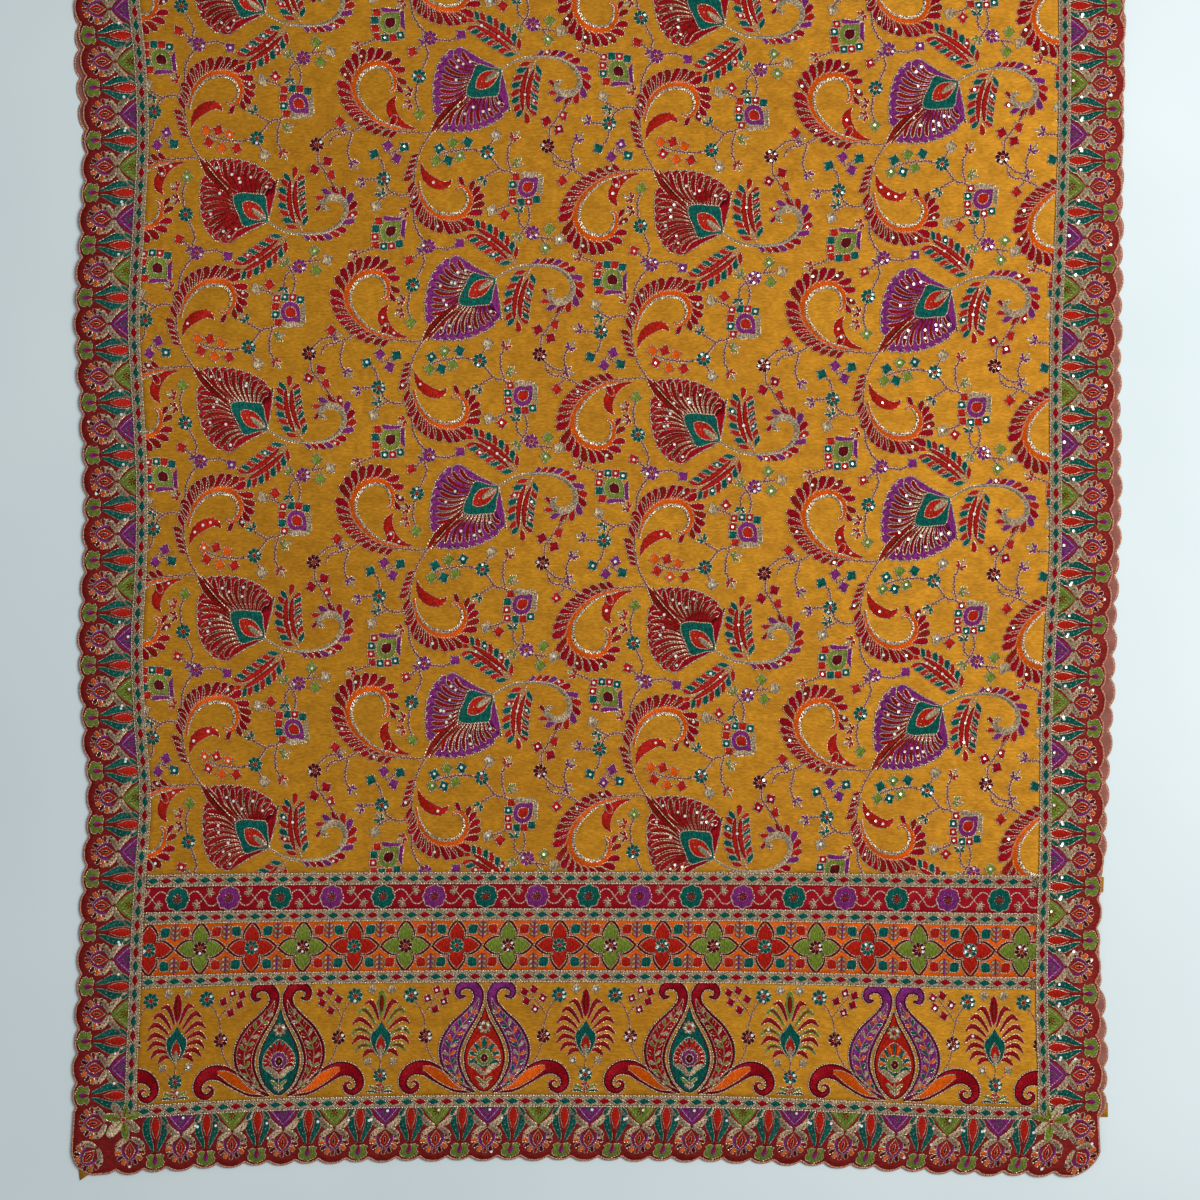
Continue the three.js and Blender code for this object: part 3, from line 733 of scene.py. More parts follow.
def add_curl(motif, spine, stem, crescent, side, sizes, stem_share):
    """A curled plume: an orange band with a gold cord inside it and crimson lobes outside."""
    spine, stem, crescent = (np.array(rows, float) for rows in (spine, stem, crescent))
    for rows in (spine, stem, crescent):
        rows[:, :2] += CURL_FOOT
    line = motif.rimmed("orange", spine * [1, 1, 1.15], 44, 0.2, 0.45, base=0.3, crown=0.6)
    inner = line[1:, :2] - normals(line[:, :2])[1:] * side * (line[1:, 2:] * 0.72)
    motif.ribbon("gold", inner, np.maximum(line[1:, 2] * 0.4, 0.5), 0.6, 0.5)
    add_stem(motif, stem, 1.1)
    joined = np.vstack([np.column_stack([spline(stem, 14), np.full(14, 0.8)]), line[4:]])
    whole = spline(joined[::2], 64)
    add_lobes(motif, whole, side, 24, stem_share, 0.97, sizes, ["crimson", "rust", "crimson"], 48, 0.52)
    horn = motif.rimmed("scarlet", crescent, 18, 0.03, 0.3, base=0.15, crown=0.5)
    for n in (5, 9, 12):
        motif.sequin(horn[n, :2], 0.5)


MEDALLION_RING = [(9, -8.6), (8.4, 2), (5, 8), (-3, 9.4), (-8.6, 5), (-9.2, -3), (-5.4, -8.4), (2, -9.6)]
MEDALLION_HEART = [(4.6, -4.2), (4, 2.4), (-1, 4.8), (-4.8, 2), (-4.2, -3.4), (0, -5)]
MEDALLION_DOTS = [(-13, 12.4), (-5.6, 13.4), (1.4, 13.2), (8.4, 11), (-14, 4.8), (-13.8, -2.6), (-11.4, -9.6)]
MEDALLION_SQUARE = np.array([
    (3.4, 3.2), (0, 3.7), (-3.3, 3.3), (-3.7, 0), (-3.3, -3.3), (0, -3.6), (3.4, -3.3), (3.6, 0),
])


def add_medallion(motif, at, ring_thread, heart, arc_thread):
    """A small square flower: a ring round a heart, dots on two sides and arcs on the others."""
    at = np.array(at, float)
    motif.patch(ring_thread, at + spline(MEDALLION_RING, 24, closed=True), base=0.1)
    motif.patch(heart, at + spline(MEDALLION_HEART, 14, closed=True), base=0.45)
    for k, place in enumerate(MEDALLION_DOTS):
        motif.patch("teal" if k % 2 else "scarlet", MEDALLION_SQUARE + at + place, crown=0.5, base=0.1)
        motif.sequin(at + place, 0.55)
    for start, end in (((13, 6.6), (12.4, -11)), ((11, -12.6), (-7, -13.2))):
        motif.leaf(arc_thread, at + start, at + end, 5.0, -0.12, 0.9, steps=8)


FIELD_STEMS = [  # each a smooth line through a few points, from the fan's apex
    [(-82.7, 113.3), (-90.4, 113.9), (-98, 112), (-103.1, 106.9), (-106.3, 100.6)],
    [(-98, 112), (-106.9, 115.8), (-111, 121.5)],
    [(-110, 99.9), (-119.7, 99.3), (-124.8, 101.8)],
    [(-107.4, 94), (-108.2, 85.3), (-113.3, 78.9)],
    [(-102, 71), (-102.6, 77), (-97, 74), (-92.5, 70.4)],
    [(-126, 50.3), (-134.9, 55.4), (-145.1, 59.2), (-154, 61.1), (-158, 69)],
    [(-142, 56), (-147.2, 50.4)],
    [(-136.8, 58.5), (-140, 68.7), (-140, 78.9), (-136, 84)],
    [(-108, 157), (-118.4, 164.2), (-128, 167)],
    [(-77.7, 126), (-77, 137.5), (-72.6, 148.3), (-66.2, 156.6)],
    [(-57, 161.6), (-45.8, 162.9), (-38.2, 159.1)],
    [(-66.2, 164.2), (-72.6, 168), (-77.7, 171.9)],
    [(-57.3, 77.7), (-47.1, 74.5), (-34.4, 72.6), (-24.2, 73.2), (-18, 75.1)],
    [(-9.5, 79.5), (-1.3, 90), (9, 93), (16, 97)],
    [(-2.5, 91), (-10.2, 94.2), (-15.3, 99.3)],
    [(-11.6, 69.6), (-8, 63)],
    [(8.3, 91.7), (5.7, 81.5), (5.7, 71.3), (9.6, 63)],
    [(25.4, 121), (28, 134.9), (23.6, 145.1), (19.1, 150.2)],
    [(-3.2, 126.7), (5.1, 124.8), (12.4, 119.6)],
    [(-76.4, 36.4), (-78.9, 25.5), (-77, 13)],
    [(-72.3, 0.6), (-66.2, -12.7), (-68, -24)],
    [(42.6, 63), (43.9, 52.8), (53.5, 40.1), (59.2, 31.2), (61, 27)],
    [(45, 74.5), (53.5, 82.1), (64, 84)],
    [(34, -37), (42, -36), (50, -35)],
    [(26, -43), (19, -50), (17.8, -60)],
    [(40, -36), (43, -31)],
]
FIELD_FLOWERS = [  # x, y, thread
    (-106.9, 99.3, "teal"), (-63, 160.4, "purple"), (-13.4, 75.1, "teal"), (-75.1, 6.4, "teal"),
    (41.4, 69.4, "maroon"), (31.2, -40.7, "purple"),
]
FIELD_BUDS = [  # x, y, thread, turn
    (-112, 123.5, "ecru", 20), (-116.5, 76.4, "teal", 30), (-96.1, 80.2, "purple", -15),
    (-104.4, 68.7, "purple", 10), (-89.1, 70, "teal", 40), (-148.3, 47.1, "scarlet", 0),
    (-34.4, 157.2, "purple", 45), (-79.6, 172.5, "scarlet", 30), (-5.7, 59.2, "ecru", 0),
    (-6.7, 127.4, "ecru", 20), (4.7, 131.2, "scarlet", 0), (-75.7, 40.1, "green", 0),
    (51.6, 54.1, "crimson", 35), (40.1, 46.5, "crimson", 20), (54.7, 41.4, "scarlet", -25),
    (43.9, -27, "green", 10), (56.4, -35, "ecru", 30), (46.5, -44.6, "green", 5),
]
FIELD_BERRIES = [  # x, y, which of the unit's two berry colours, turn
    (-59.8, 82.1, 0, 10), (-49, 82.1, 1, -20), (-38.2, 78.3, 0, 25), (-57.3, 71.3, 1, 15),
    (-45.2, 66.2, 0, 0), (-31.8, 65.6, 1, -10),
]
FIELD_SPRIGS = [  # x, y, turn, thread
    (-124.8, 101.8, 165, "purple"), (-136, 84, 55, "purple"), (-128, 167, 160, "scarlet"),
    (-15.3, 99.3, 130, "teal"), (9.6, 63, -55, "scarlet"), (19.1, 150.2, 130, "green"),
    (-83.4, 31, 160, "scarlet"), (-82.7, 21, 200, "crimson"), (-68, -24, -100, "purple"),
    (64, 84, 20, "purple"), (17.8, -60, -95, "teal"), (-84, 128.5, 150, "scarlet"),
    (-107.5, 113.6, 235, "teal"), (12, 84, 20, "green"),
]
OVER_SIZES = [  # share of the way along the curl, length of a lobe there
    (0.0, 4), (0.2, 8.5), (0.35, 12.5), (0.5, 15.4), (0.7, 15.6), (0.85, 13.4), (1, 8.5),
]
BESIDE_SIZES = [
    (0.0, 4), (0.2, 9.5), (0.4, 14.8), (0.6, 16.6), (0.75, 16), (0.9, 12.8), (1, 8.5),
]


def field_unit(ground, berries, *ribs):
    """The field's repeat. Ribs are the fan's rib thread, how far a rib reaches and how slim it is."""
    motif = Motif()
    for points in FIELD_STEMS:
        add_stem(motif, points)
    for x, y, thread in FIELD_FLOWERS:
        add_flower(motif, (x, y), petal=thread)
    for x, y, thread, turn in FIELD_BUDS:
        add_bud(motif, (x, y), thread, turn=turn)
    for x, y, which, turn in FIELD_BERRIES:
        add_bud(motif, (x, y), berries[which], turn=turn)
    for x, y, turn, thread in FIELD_SPRIGS:
        add_sprig(motif, (x, y), turn, thread)
    add_medallion(motif, (-98, 147), "green", "maroon", "purple")
    add_medallion(motif, (25, 107), "purple", "scarlet", "ecru")
    add_scroll(motif)
    add_frond(motif, (31.2, -8.5), (22.6, 46), 0.10)
    add_frond(motif, (17.8, -13), (-28, -46), 0.05)
    add_curl(motif, CURL_OVER, CURL_OVER_STEM, CURL_OVER_CRESCENT, 1, OVER_SIZES, 0.16)
    add_curl(motif, CURL_BESIDE, CURL_BESIDE_STEM, CURL_BESIDE_CRESCENT, -1, BESIDE_SIZES, 0.2)
    add_fan(motif, ground, *ribs)
    return motif


# ---- Border motifs -----------------------------------------------------------------------------
# x runs along the edge and y inwards from the scallops' tips.

SCALLOPS = {  # repeat, one palmette's place
    "left": (47.55, 45.6), "right": (46.75, 42.1), "end": (47.0, 7.6),
}
PALMETTE_LOOPS = ["rust", "orange", "maroon", "orange", "rust", "maroon", "orange", "rust", "maroon"]
PALMETTE_EYE = (0, 21.5)
PALMETTE_ARC = [(-6.6, 25), (-6.8, 20), (-4.4, 15.2), (0, 12.4), (4.4, 15.2), (6.8, 20), (6.6, 25)]
PALMETTE_HUG = np.array([(1.0, 31.8, 0.9), (6.4, 29.6, 2.0), (10.6, 25.6, 2.1), (12.8, 20.6, 0.5)])
PALMETTE_SLOPE = np.array([(1.6, 33.0, 0.6), (7.8, 35.2, 2.3), (14.2, 41.0, 2.5), (18.8, 49.4, 0.6)])


def palmette(triangle=None):
    """A looped heart near the edge. With a triangle, two leaves join it to the braid."""
    motif = Motif()
    for thread, angle in zip(PALMETTE_LOOPS, np.linspace(-196, 16, 9)):
        tip = from_polar(PALMETTE_EYE, 14.2, angle)
        motif.leaf(thread, from_polar(PALMETTE_EYE, 7.2, angle), tip, 3.4, 0, 0.95, steps=5, cover=0.62)
        motif.sequin(tip, 0.04)
    motif.tube("purple", PALMETTE_ARC, 18, half=1.15, base=0.2)
    motif.tube("gold", [(x * 1.2, 13 + (y - 13) * 1.06) for x, y in PALMETTE_ARC], 18, half=0.4, base=0.3)
    motif.patch("scarlet", mirrored([(0, 28.6), (-4.7, 21.6), (-3.0, 16.6), (0, 13.8)]), base=0.25)
    motif.leaf("maroon", (0, 17.4), (0, 24), 2.2, cover=0.3, base=0.65, steps=4)
    for side in MIRRORED:
        line = motif.rimmed("ecru", PALMETTE_HUG * side, 12, 0.1, 0.35, base=0.3)
        motif.knots("rust", line[3:8:2, :2], 0.7)
    if triangle is None:
        return motif
    motif.fill(triangle, [(0, 33.4), (7, 40.6), (14, 50.6), (-14, 50.6), (-7, 40.6)], 0.08, 0.3)
    motif.cord([(-11.4, 50), (-5.4, 42.6), (0, 37), (5.4, 42.6), (11.4, 50)], 0.35)
    add_flower(motif, (0, 46), 3.6, "maroon" if triangle == "green" else "teal", petals=6)
    for side in MIRRORED:
        line = motif.rimmed("ecru", PALMETTE_SLOPE * side, 14, 0.1, 0.35, base=0.3)
        motif.knots("rust", line[4:11:2, :2], 0.75)
        motif.sequin(line[7, :2], 0.4)
    return motif


TULIP_LEAF = [(0, 2.8), (3.4, 4.6), (7.6, 6.2), (8.4, 9.4), (6.6, 12.4), (8.2, 15), (4.8, 16.8), (0, 15.8)]
TULIP_PETAL = np.array([
    (4.6, 49.8, 0.8), (7.8, 45.4, 2.5), (8.5, 39.6, 3.1), (7.2, 32.6, 2.8), (4.2, 25.6, 1.9),
    (2.2, 18.6, 0.5),
])
TULIP_DROP = [(0, 49.4, 1.4), (0, 43, 3.6), (0, 37, 2.9), (0, 29.6, 0.3)]


def tulip():
    """A drop between two petals that part and close again, over a lobed leaf at the edge."""
    motif = Motif()
    motif.patch("green", mirrored(TULIP_LEAF), crown=0.35, base=0.1, half=0.45, centre=(0, 11))
    motif.leaf("purple", (0, 16.4), (0, 7.4), 5.2, 0, 0.9, base=0.4, steps=6)
    motif.leaf("rust", (0, 18.6), (0, 10), 2.6, 0, 0.8, edge=None, base=0.8, steps=5)
    motif.cord([(0, 31), (0, 25), (0, 18)], 0.7, "rust", base=0.3)
    for side in MIRRORED:
        line = motif.rimmed("teal", TULIP_PETAL * side, 20, 0.08, 0.35, base=0.25, crown=0.55)
        motif.knots("ecru", line[4:14:3, :2], 0.6)
        motif.sequin(line[7, :2], 0.45)
    motif.rimmed("scarlet", TULIP_DROP, 14, 0.15, 0.35, base=0.3, crown=0.55)
    return motif


STAR_HEART = np.array((48.5, 48.5))
CORNER_LEAVES = [  # tip, thread, width
    ((33.5, 34), "ecru", 9.0), ((31, 51.5), "green", 7.0), ((51.5, 31), "green", 7.0),
    ((38, 63), "ecru", 7.4), ((63, 38), "ecru", 7.4), ((53.6, 66), "green", 5.4), ((66, 53.6), "green", 5.4),
]


def corner_star():
    """Leaves round a dot where the side and end braids meet. It is drawn on the left corner."""
    motif = Motif()
    for tip, thread, width in CORNER_LEAVES:
        motif.leaf(thread, STAR_HEART, tip, width, 0, 0.5, base=1.0, steps=7)
        vein = 0.35 * STAR_HEART + 0.65 * np.array(tip)
        motif.leaf("rust", STAR_HEART, vein, 1.2, cover=0.3, base=1.4)
    motif.patch("scarlet", ring(STAR_HEART, 2.2, 10), base=1.6)
    return motif


# ---- Bands and braids --------------------------------------------------------------------------


def rosette(thread):
    """A scalloped disc with a small flower on it."""
    motif = Motif()
    motif.patch(thread, ring((0, 0), 10.4, 40, 1, 8, 0.13, 0.39), base=0.1)
    for k in range(8):
        root, tip = from_polar((0, 0), 1.0, 45 * k + 10), from_polar((0, 0), 4.6, 45 * k + 10)
        motif.leaf("maroon", root, tip, 2.0, steps=3, cover=0.4, base=0.4)
    motif.disc("scarlet", (0, 0), 1.4, 0.7, 0.3, 6)
    return motif


def rosette_vine(flip):
    """The vine between two rosettes, crossed by a thin stem with leaves at both ends."""
    motif = Motif()
    vine = [(9.6, 3), (14, 6.4), (19, 5.8), (24, 0), (29, -5.8), (34, -6.4), (38.2, -3)]
    cross = [(17.4, -6.6), (21, -3.4), (27, 3.4), (30.6, 6.6)]
    motif.cord(spline(np.array(vine) * [1, flip], 22), 0.6)
    motif.cord(spline(np.array(cross) * [1, flip], 10), 0.45)
    for x, y, turn in ((19.4, -5, 200), (28.6, 5, 20)):
        root = np.array((x, y * flip))
        for angle, size in ((-75, 4.6), (-25, 6), (35, 6), (85, 4.6)):
            tip = from_polar(root, size, (turn + angle) * flip)
            motif.leaf("ecru", root, tip, 2.2, blunt=0.6, steps=4, cover=0.3)
            motif.leaf("crimson", (root + tip) / 2, tip, 1.6, edge=None, steps=3, base=0.5)
    return motif


FOIL_HALF = [  # reach and half width of a petal
    (2.4, 2.4), (5.4, 5.4), (8, 6.9), (10.8, 7.2), (13.8, 6.3), (16.8, 4.3), (19.4, 2.0), (21.4, 0),
]
FOIL_CORDS = [  # inset, half width, thread
    (0.1, 0.4, "gold"), (-0.8, 0.75, "maroon"), (-1.7, 0.45, "gold"),
]
FOIL_SQUARE = np.array([
    (4.2, 2.6), (3.6, 3.8), (0, 4.3), (-3.0, 3.8), (-4.0, 0), (-3.4, -3.2), (0, -3.8), (3.4, -2.6),
])


def foil_petal(angle, inset):
    """Outline of one pointed petal, drawn in from its edge."""
    rows = np.array(FOIL_HALF)
    half = np.maximum(rows[:, 1] - inset, 0)
    reach = rows[:, 0] - inset * (rows[:, 0] / 12 - 0.2)
    side = np.column_stack([reach, half])
    return turned(np.vstack([side, (side * [1, -1])[-2::-1]]), angle)


def quatrefoil(thread, corner, heart):
    """Four broad pointed petals round a rosette, with a small square in each corner."""
    motif = Motif()
    for angle in (0, 90, 180, 270):
        motif.fill(thread, foil_petal(angle, 0.2), 0.1, 0.35, turned([(11, 0)], angle)[0])
    for inset, thick, cord in FOIL_CORDS:
        edge = np.vstack([foil_petal(angle, inset)[1:-1] for angle in (0, 270, 180, 90)])
        motif.cord(edge[::-1], thick, cord, base=0.25, closed=True)
    add_flower(motif, (0, 0), 6.6, heart, "scarlet", base=0.5)
    for x in (-1, 1):
        for y in (-1, 1):
            motif.patch(corner, (FOIL_SQUARE * 1.18 + 14.4) * [x, y], base=0.1)
    return motif


def band_sprig():
    """Small leafy sprigs that stand between two quatrefoils, at both edges of the band."""
    motif = Motif()
    for way in (-1, 1):
        motif.cord([(0, way * 22), (0, way * 15), (0, way * 7)], 0.7, "purple")
        for y in (17.4, 13, 8.6):
            for side in (-1, 1):
                root, tip = (side * 0.6, way * y), (side * 3.9, way * (y + 3.2))
                motif.leaf("ecru", root, tip, 2.7, edge="maroon", steps=4, cover=0.45)
    return motif


LOZENGE = [(5.6, 0), (2.8, 2.0), (0, 3.1), (-2.8, 2.0), (-5.6, 0), (-2.8, -2.0), (0, -3.1), (2.8, -2.0)]
BRAID_WAVE = np.array([(-6.1, 1.6), (-3.2, 3.0), (0, 4.1), (3.2, 3.0), (6.1, 1.6)])
BRAID_RIM = np.array([(-6.1, 4.7), (-3, 5.1), (0, 4.7), (3, 5.1), (6.1, 4.7)])


def braid_unit(thread):
    """One lozenge of a braid, between wavy cords. x runs along the braid."""
    motif = Motif()
    motif.patch(thread, LOZENGE, crown=0.45, half=0.42, base=1.2)
    motif.sequin((0, 0), 0.06)
    for way in (-1, 1):
        motif.ribbon("ecru", BRAID_WAVE * [1, way], 0.65, 0.95, 0.55)
        motif.ribbon("gold", BRAID_RIM * [1, way], 0.55, 0.9, 0.6)
    return motif


# ---- The end panel -----------------------------------------------------------------------------

PAISLEY_SPINE = np.array([
    (9, 1.2, 1.6), (21.5, 12, 5.6), (30.6, 27, 9.0), (31.6, 42, 10.6), (25, 57, 9.8), (14.6, 70, 7.4),
    (7.4, 81.5, 5.4), (6.4, 91.0, 5.2), (11.6, 98.2, 5.0), (19.8, 99.0, 4.5), (25.4, 94.2, 3.7),
    (24.0, 88.0, 2.8), (18.4, 88.6, 1.4),
])
SIDE_CURL = np.array([
    (8, 1.6, 1.2), (24.8, 6.4, 5.6), (39.9, 16, 7.6), (53.4, 23.4, 7.4), (65, 23.4, 6.2), (73, 17, 5.0),
    (74.4, 8.6, 4.2), (69.2, 3.0, 3.4), (63, 4.4, 2.7), (61, 9, 2.1), (64.6, 12, 1.5), (67.4, 9.6, 0.8),
])
TEARDROP = mirrored([
    (0, 80), (-3.6, 70), (-10.6, 58), (-17.4, 44), (-19.4, 30), (-15, 14), (-6.6, 4), (0, 1),
])


def add_edges(motif, path, half, thick, thread):
    """A cord along both sides of a band."""
    side = normals(path) * half[:, None]
    for way in (-1, 1):
        motif.cord(path + side * way, thick, thread, base=0.3)


def add_paisley(motif, side, outer, leaves):
    """One curled paisley: a band between double cords, with a leafy stem along its middle."""
    spine = PAISLEY_SPINE * side
    line = motif.tube(outer, spine[:, :2], 56, spine[:, 2], base=0.05, crown=0.4, strips=4)
    path, half = line[:, :2], line[:, 2]
    add_edges(motif, path, np.maximum(half, 0.1), 0.55, "gold")
    add_edges(motif, path, np.maximum(half - 1.2, 0.1), 0.6, "maroon")
    across = normals(path)
    taper = np.clip(np.linspace(0, 8, 37), 0, 1) * np.clip(np.linspace(6, 0, 37), 0, 1)
    room = np.maximum(half[3:40] - 3.2, 0.2) * np.sqrt(taper)
    motif.ribbon(outer, path[3:40], np.maximum(room, 0.1), 0.35, 0.4, 4)
    for way in (-1, 1):
        motif.cord(path[3:40] + across[3:40] * way * room[:, None], 0.32, base=0.5)
    motif.cord(path[4:37], 0.45, "ecru", base=0.7)
    for k in range(11):
        j = 5 + int(2.8 * k)
        forward = path[j + 1] - path[j - 1]
        forward = forward / np.linalg.norm(forward)
        for way in (-1, 1):
            tip = path[j] + forward * 5.0 + across[j] * way * min(5.6, 0.56 * half[j])
            motif.leaf(leaves[(k + (way > 0)) % 3], path[j], tip, 3.1, 0, 0.8, base=0.65, steps=4, cover=0.4)


def add_side_curl(motif, side):
    """The curled leaf beside a paisley: crimson between double cords, with an orange heart."""
    curl = SIDE_CURL * side
    line = motif.tube("crimson", curl[:, :2], 52, curl[:, 2], base=0.05, crown=0.4, strips=4)
    path, half = line[:, :2], line[:, 2]
    across = normals(path)
    for way in (-1, 1):
        motif.cord(path + across * way * half[:, None], 0.55, base=0.2)
        inner = across[2:-4] * way * np.maximum(half[2:-4] - 1.2, 0)[:, None]
        motif.cord(path[2:-4] + inner, 0.5, "maroon", base=0.35)
    core = np.maximum(half[4:26] - 2.7, 0.2) * np.sin(np.linspace(0.3, 3.05, 22)) ** 0.5
    motif.ribbon("orange", path[4:26], core, 0.4, 0.4)
    for way in (-1, 1):
        motif.cord(path[4:26] + across[4:26] * way * core[:, None], 0.4, base=0.55)


def paisley_pair(outer, leaves, drop_thread, palm, petals):
    """Two curled-top paisleys that hold a teardrop between them, with a curled leaf on each side."""
    motif = Motif()
    for side in MIRRORED:
        add_paisley(motif, side, outer, leaves)
        add_side_curl(motif, side)
        add_berries(motif, side[0])
    tear = spline(TEARDROP, 48, closed=True)
    motif.patch(drop_thread, tear, half=0.6, base=0.3, centre=(0, 34))
    motif.cord(tear * [0.93, 0.965] + [0, 1.2], 0.45, "maroon", 0.5, closed=True)
    add_flower(motif, (0, 60.6), 6.2, "ecru", "scarlet", base=0.7)
    add_inner_palmette(motif, palm, petals)
    return motif


def add_inner_palmette(motif, palm, petals):
    """A ring of petals round a heart, held by two leaves."""
    dome = mirrored([(0, 52), (-7.6, 46.6), (-13.2, 39.6), (-14.8, 31), (-12.6, 25), (0, 20)])
    motif.patch(petals[0], spline(dome, 30, closed=True), crown=0.3, base=0.5, centre=(0, 34))
    for k, angle in enumerate(np.linspace(-18, 198, 13)):
        reach = 13.4 + 3.4 * math.sin(math.radians(angle)) ** 6
        root, tip = from_polar((0, 33), 8.4, angle), from_polar((0, 33), reach + 1, angle)
        motif.leaf(petals[k % 2], root, tip, 3.5, 0, 0.9, base=0.7, steps=4)
    motif.patch(palm, ring((0, 33), 7.4, 26, 1, 9, 0.16), crown=0.35, base=0.75)
    motif.patch("maroon", ring((0, 32.4), 3.6, 14, 1.15), crown=0.35, base=1.05)
    motif.disc("gold", (0, 32.4), 1.1, 1.35, 0.3, 6)
    for way in (-1, 1):
        motif.leaf("ecru", (way * 12.4, 28), (way * 1.0, 17), 5.2, way * -0.08, 0.6, base=0.7)
        motif.leaf("green", (0, 9.5), (way * 7.4, 15.4), 2.4, 0, 0.6, base=0.7, steps=4)
        motif.leaf("ecru", (0, 5.5), (way * 4.4, 9.6), 1.8, 0, 0.6, base=0.7, steps=4)
    motif.cord([(0, 4), (0, 10), (0, 18)], 0.5, base=0.8)


def add_berries(motif, way):
    """A stem beside the paisleys with a flower on it and five buds at its end."""
    side = (way, 1)
    add_stem(motif, np.array([(44, 27), (51, 38), (54, 51), (55.6, 66), (60, 78), (66, 86)]) * side, 0.7)
    add_stem(motif, np.array([(56.4, 72), (51, 80), (46, 86), (42, 90)]) * side, 0.6)
    add_flower(motif, (way * 54.4, 52.4), 6.6, "maroon")
    add_flower(motif, (way * 68.6, 89.6), 7.2, "teal")
    for x, y in ((53.4, 86.4), (45.1, 94), (36.4, 92), (38.3, 83.5), (46.4, 76.4)):
        add_bud(motif, (way * x, y), "crimson", 8.8, 20 * way)


FEATHER_ROWS = [  # root across and along, the arch's top, the tip
    (2.4, 68, 10.0, 84.0, 15.4, 82.6), (5.4, 64, 17.0, 77.4, 22.4, 73.4), (7.6, 59.6, 20.6, 68.6, 26.6, 64.0),
    (8.8, 54.4, 21.4, 59.6, 27.6, 54.0), (8.6, 48.8, 20.8, 52.0, 26.4, 46.0),
    (7.6, 43.4, 18.4, 44.6, 23.4, 38.6), (5.6, 38.8, 12.4, 39.0, 16.4, 34.4),
]
FEATHER_WIDTHS = [0.8, 1.7, 2.1, 0.4]
PALM_DROP = mirrored([(0, 66.6), (-3.6, 61), (-9.2, 55), (-9.6, 49), (-7.0, 42), (-3.8, 37), (0, 33.6)])
PALM_HEART = mirrored([(0, 54.6), (-3.6, 49), (-4.6, 44), (-2.4, 38.6), (0, 36.6)])


def palm_flower(second):
    """Drooping feathers round a teal drop, on a stem. Every other pair and the bud have a second thread."""
    motif = Motif()
    add_stem(motif, [(0, 1), (0, 16), (0, 32)], 0.7)
    for k, (root_x, root_y, top_x, top_y, tip_x, tip_y) in enumerate(FEATHER_ROWS):
        arch = (0.5 * (root_x + top_x), 0.42 * root_y + 0.58 * top_y + 1)
        rows = np.column_stack([[(root_x, root_y), arch, (top_x, top_y), (tip_x, tip_y)], FEATHER_WIDTHS])
        for side in MIRRORED:
            line = motif.rimmed(second if k % 2 else "crimson", rows * side, 14, 0.05, 0.35, base=0.22)
            motif.ribbon("rust", line[3:11, :2], line[3:11, 2] * 0.4, 0.62, 0.3)
    motif.leaf(second, (0, 70), (0, 95), 7.6, 0, 0.5, steps=8)
    motif.leaf("rust", (0, 75), (0, 90), 3.0, 0, 0.5, edge="maroon", base=0.7)
    motif.patch("teal", PALM_DROP, base=0.45, centre=(0, 49))
    motif.patch("scarlet", PALM_HEART, crown=0.35, base=0.65)
    motif.leaf("ecru", (0, 33), (0, 45), 3.6, 0, 0.8, base=0.95)
    add_flower(motif, (0, 17.4), 6.6, "teal")
    add_flower(motif, (0, 6.6), 4.4, "scarlet", "ecru", petals=6)
    for way in (-1, 1):
        add_stem(motif, [(0, 20), (way * 5, 23), (way * 9, 26.4)], 0.5)
        add_bud(motif, (way * 12, 30), "ecru", 7.4, 30 * way)
        add_bud(motif, (way * 9, 95), "ecru", 8.4, 0)
        motif.leaf("green", (way * 1.5, 3), (way * 11, 8), 2.6, way * 0.1, 0.5)
        motif.leaf("teal", (way * 1.5, 2), (way * 13, 2.6), 2.2, way * 0.08, 0.5)
        motif.sequin((way * 20, 60), 0.5)
    return motif


# ---- Stamping motifs on the cloth --------------------------------------------------------------

stitches = {}  # by region and thread: points on the flat cloth, faces and texture places
sequins = []  # places across and along

INNER_LEFT, INNER_RIGHT = BORDER_CUT, CLOTH_WIDTH - BORDER_CUT
STITCH_END = FOLD_START + 0.66 * FOLD_ARC  # stitches past it would lie under the cloth
WHOLE = (-9, CLOTH_WIDTH + 9, -9, STITCH_END)

UPRIGHT = ((1, 0), (0, 1))
UPSIDE_DOWN = ((1, 0), (0, -1))
UP_THE_LEFT = ((0, 1), (1, 0))
UP_THE_RIGHT = ((0, -1), (1, 0))
SEQUIN_MARGIN = 6  # from a seam
# fewer sequins at the left edge and more towards the right: a painted highlight, standing in for the sparkle
# the key light gives on the right
LEFT_SEQUINS = 0.55  # share of a motif's chance at the left edge
MORE_SEQUINS = 0.9  # what the share gains towards the right edge


def between_braids(low, high):
    """The ground from a seam to the next, to keep motifs in."""
    return INNER_LEFT, INNER_RIGHT, low, high


def within(u, v, keep, margin):
    low_u, high_u, low_v, high_v = keep
    return (u > low_u + margin) & (u < high_u - margin) & (v > low_v + margin) & (v < high_v - margin)


def stamp(motif, across, along, region, matrix=UPRIGHT, keep=WHOLE):
    """Puts a motif on the cloth. Keep bounds it: lowest and highest across, lowest and highest along."""
    matrix = np.asarray(matrix, float)
    mirrored = np.linalg.det(matrix) < 0
    for thread, parts in motif.parts.items():
        for points, faces, uv in parts:
            placed = points.copy()
            placed[:, :2] = points[:, :2] @ matrix.T + (across, along)
            used = faces[:, ::-1] if mirrored else faces
            inside = within(placed[:, 0], placed[:, 1], keep, 0)
            if not inside.all():
                used = used[inside[used].all(axis=1)]
            if len(used):
                stitches.setdefault((region, thread), []).append((placed, used, uv))
    for x, y, chance in motif.sequins:
        u, v = np.array([x, y]) @ matrix.T + (across, along)
        # painted highlight: the chance grows towards the right edge, where sequins sparkle in the key light
        side_chance = chance * (LEFT_SEQUINS + MORE_SEQUINS * u / CLOTH_WIDTH)
        if rng.random() < side_chance and within(u, v, keep, SEQUIN_MARGIN):
            sequins.append((u, v))


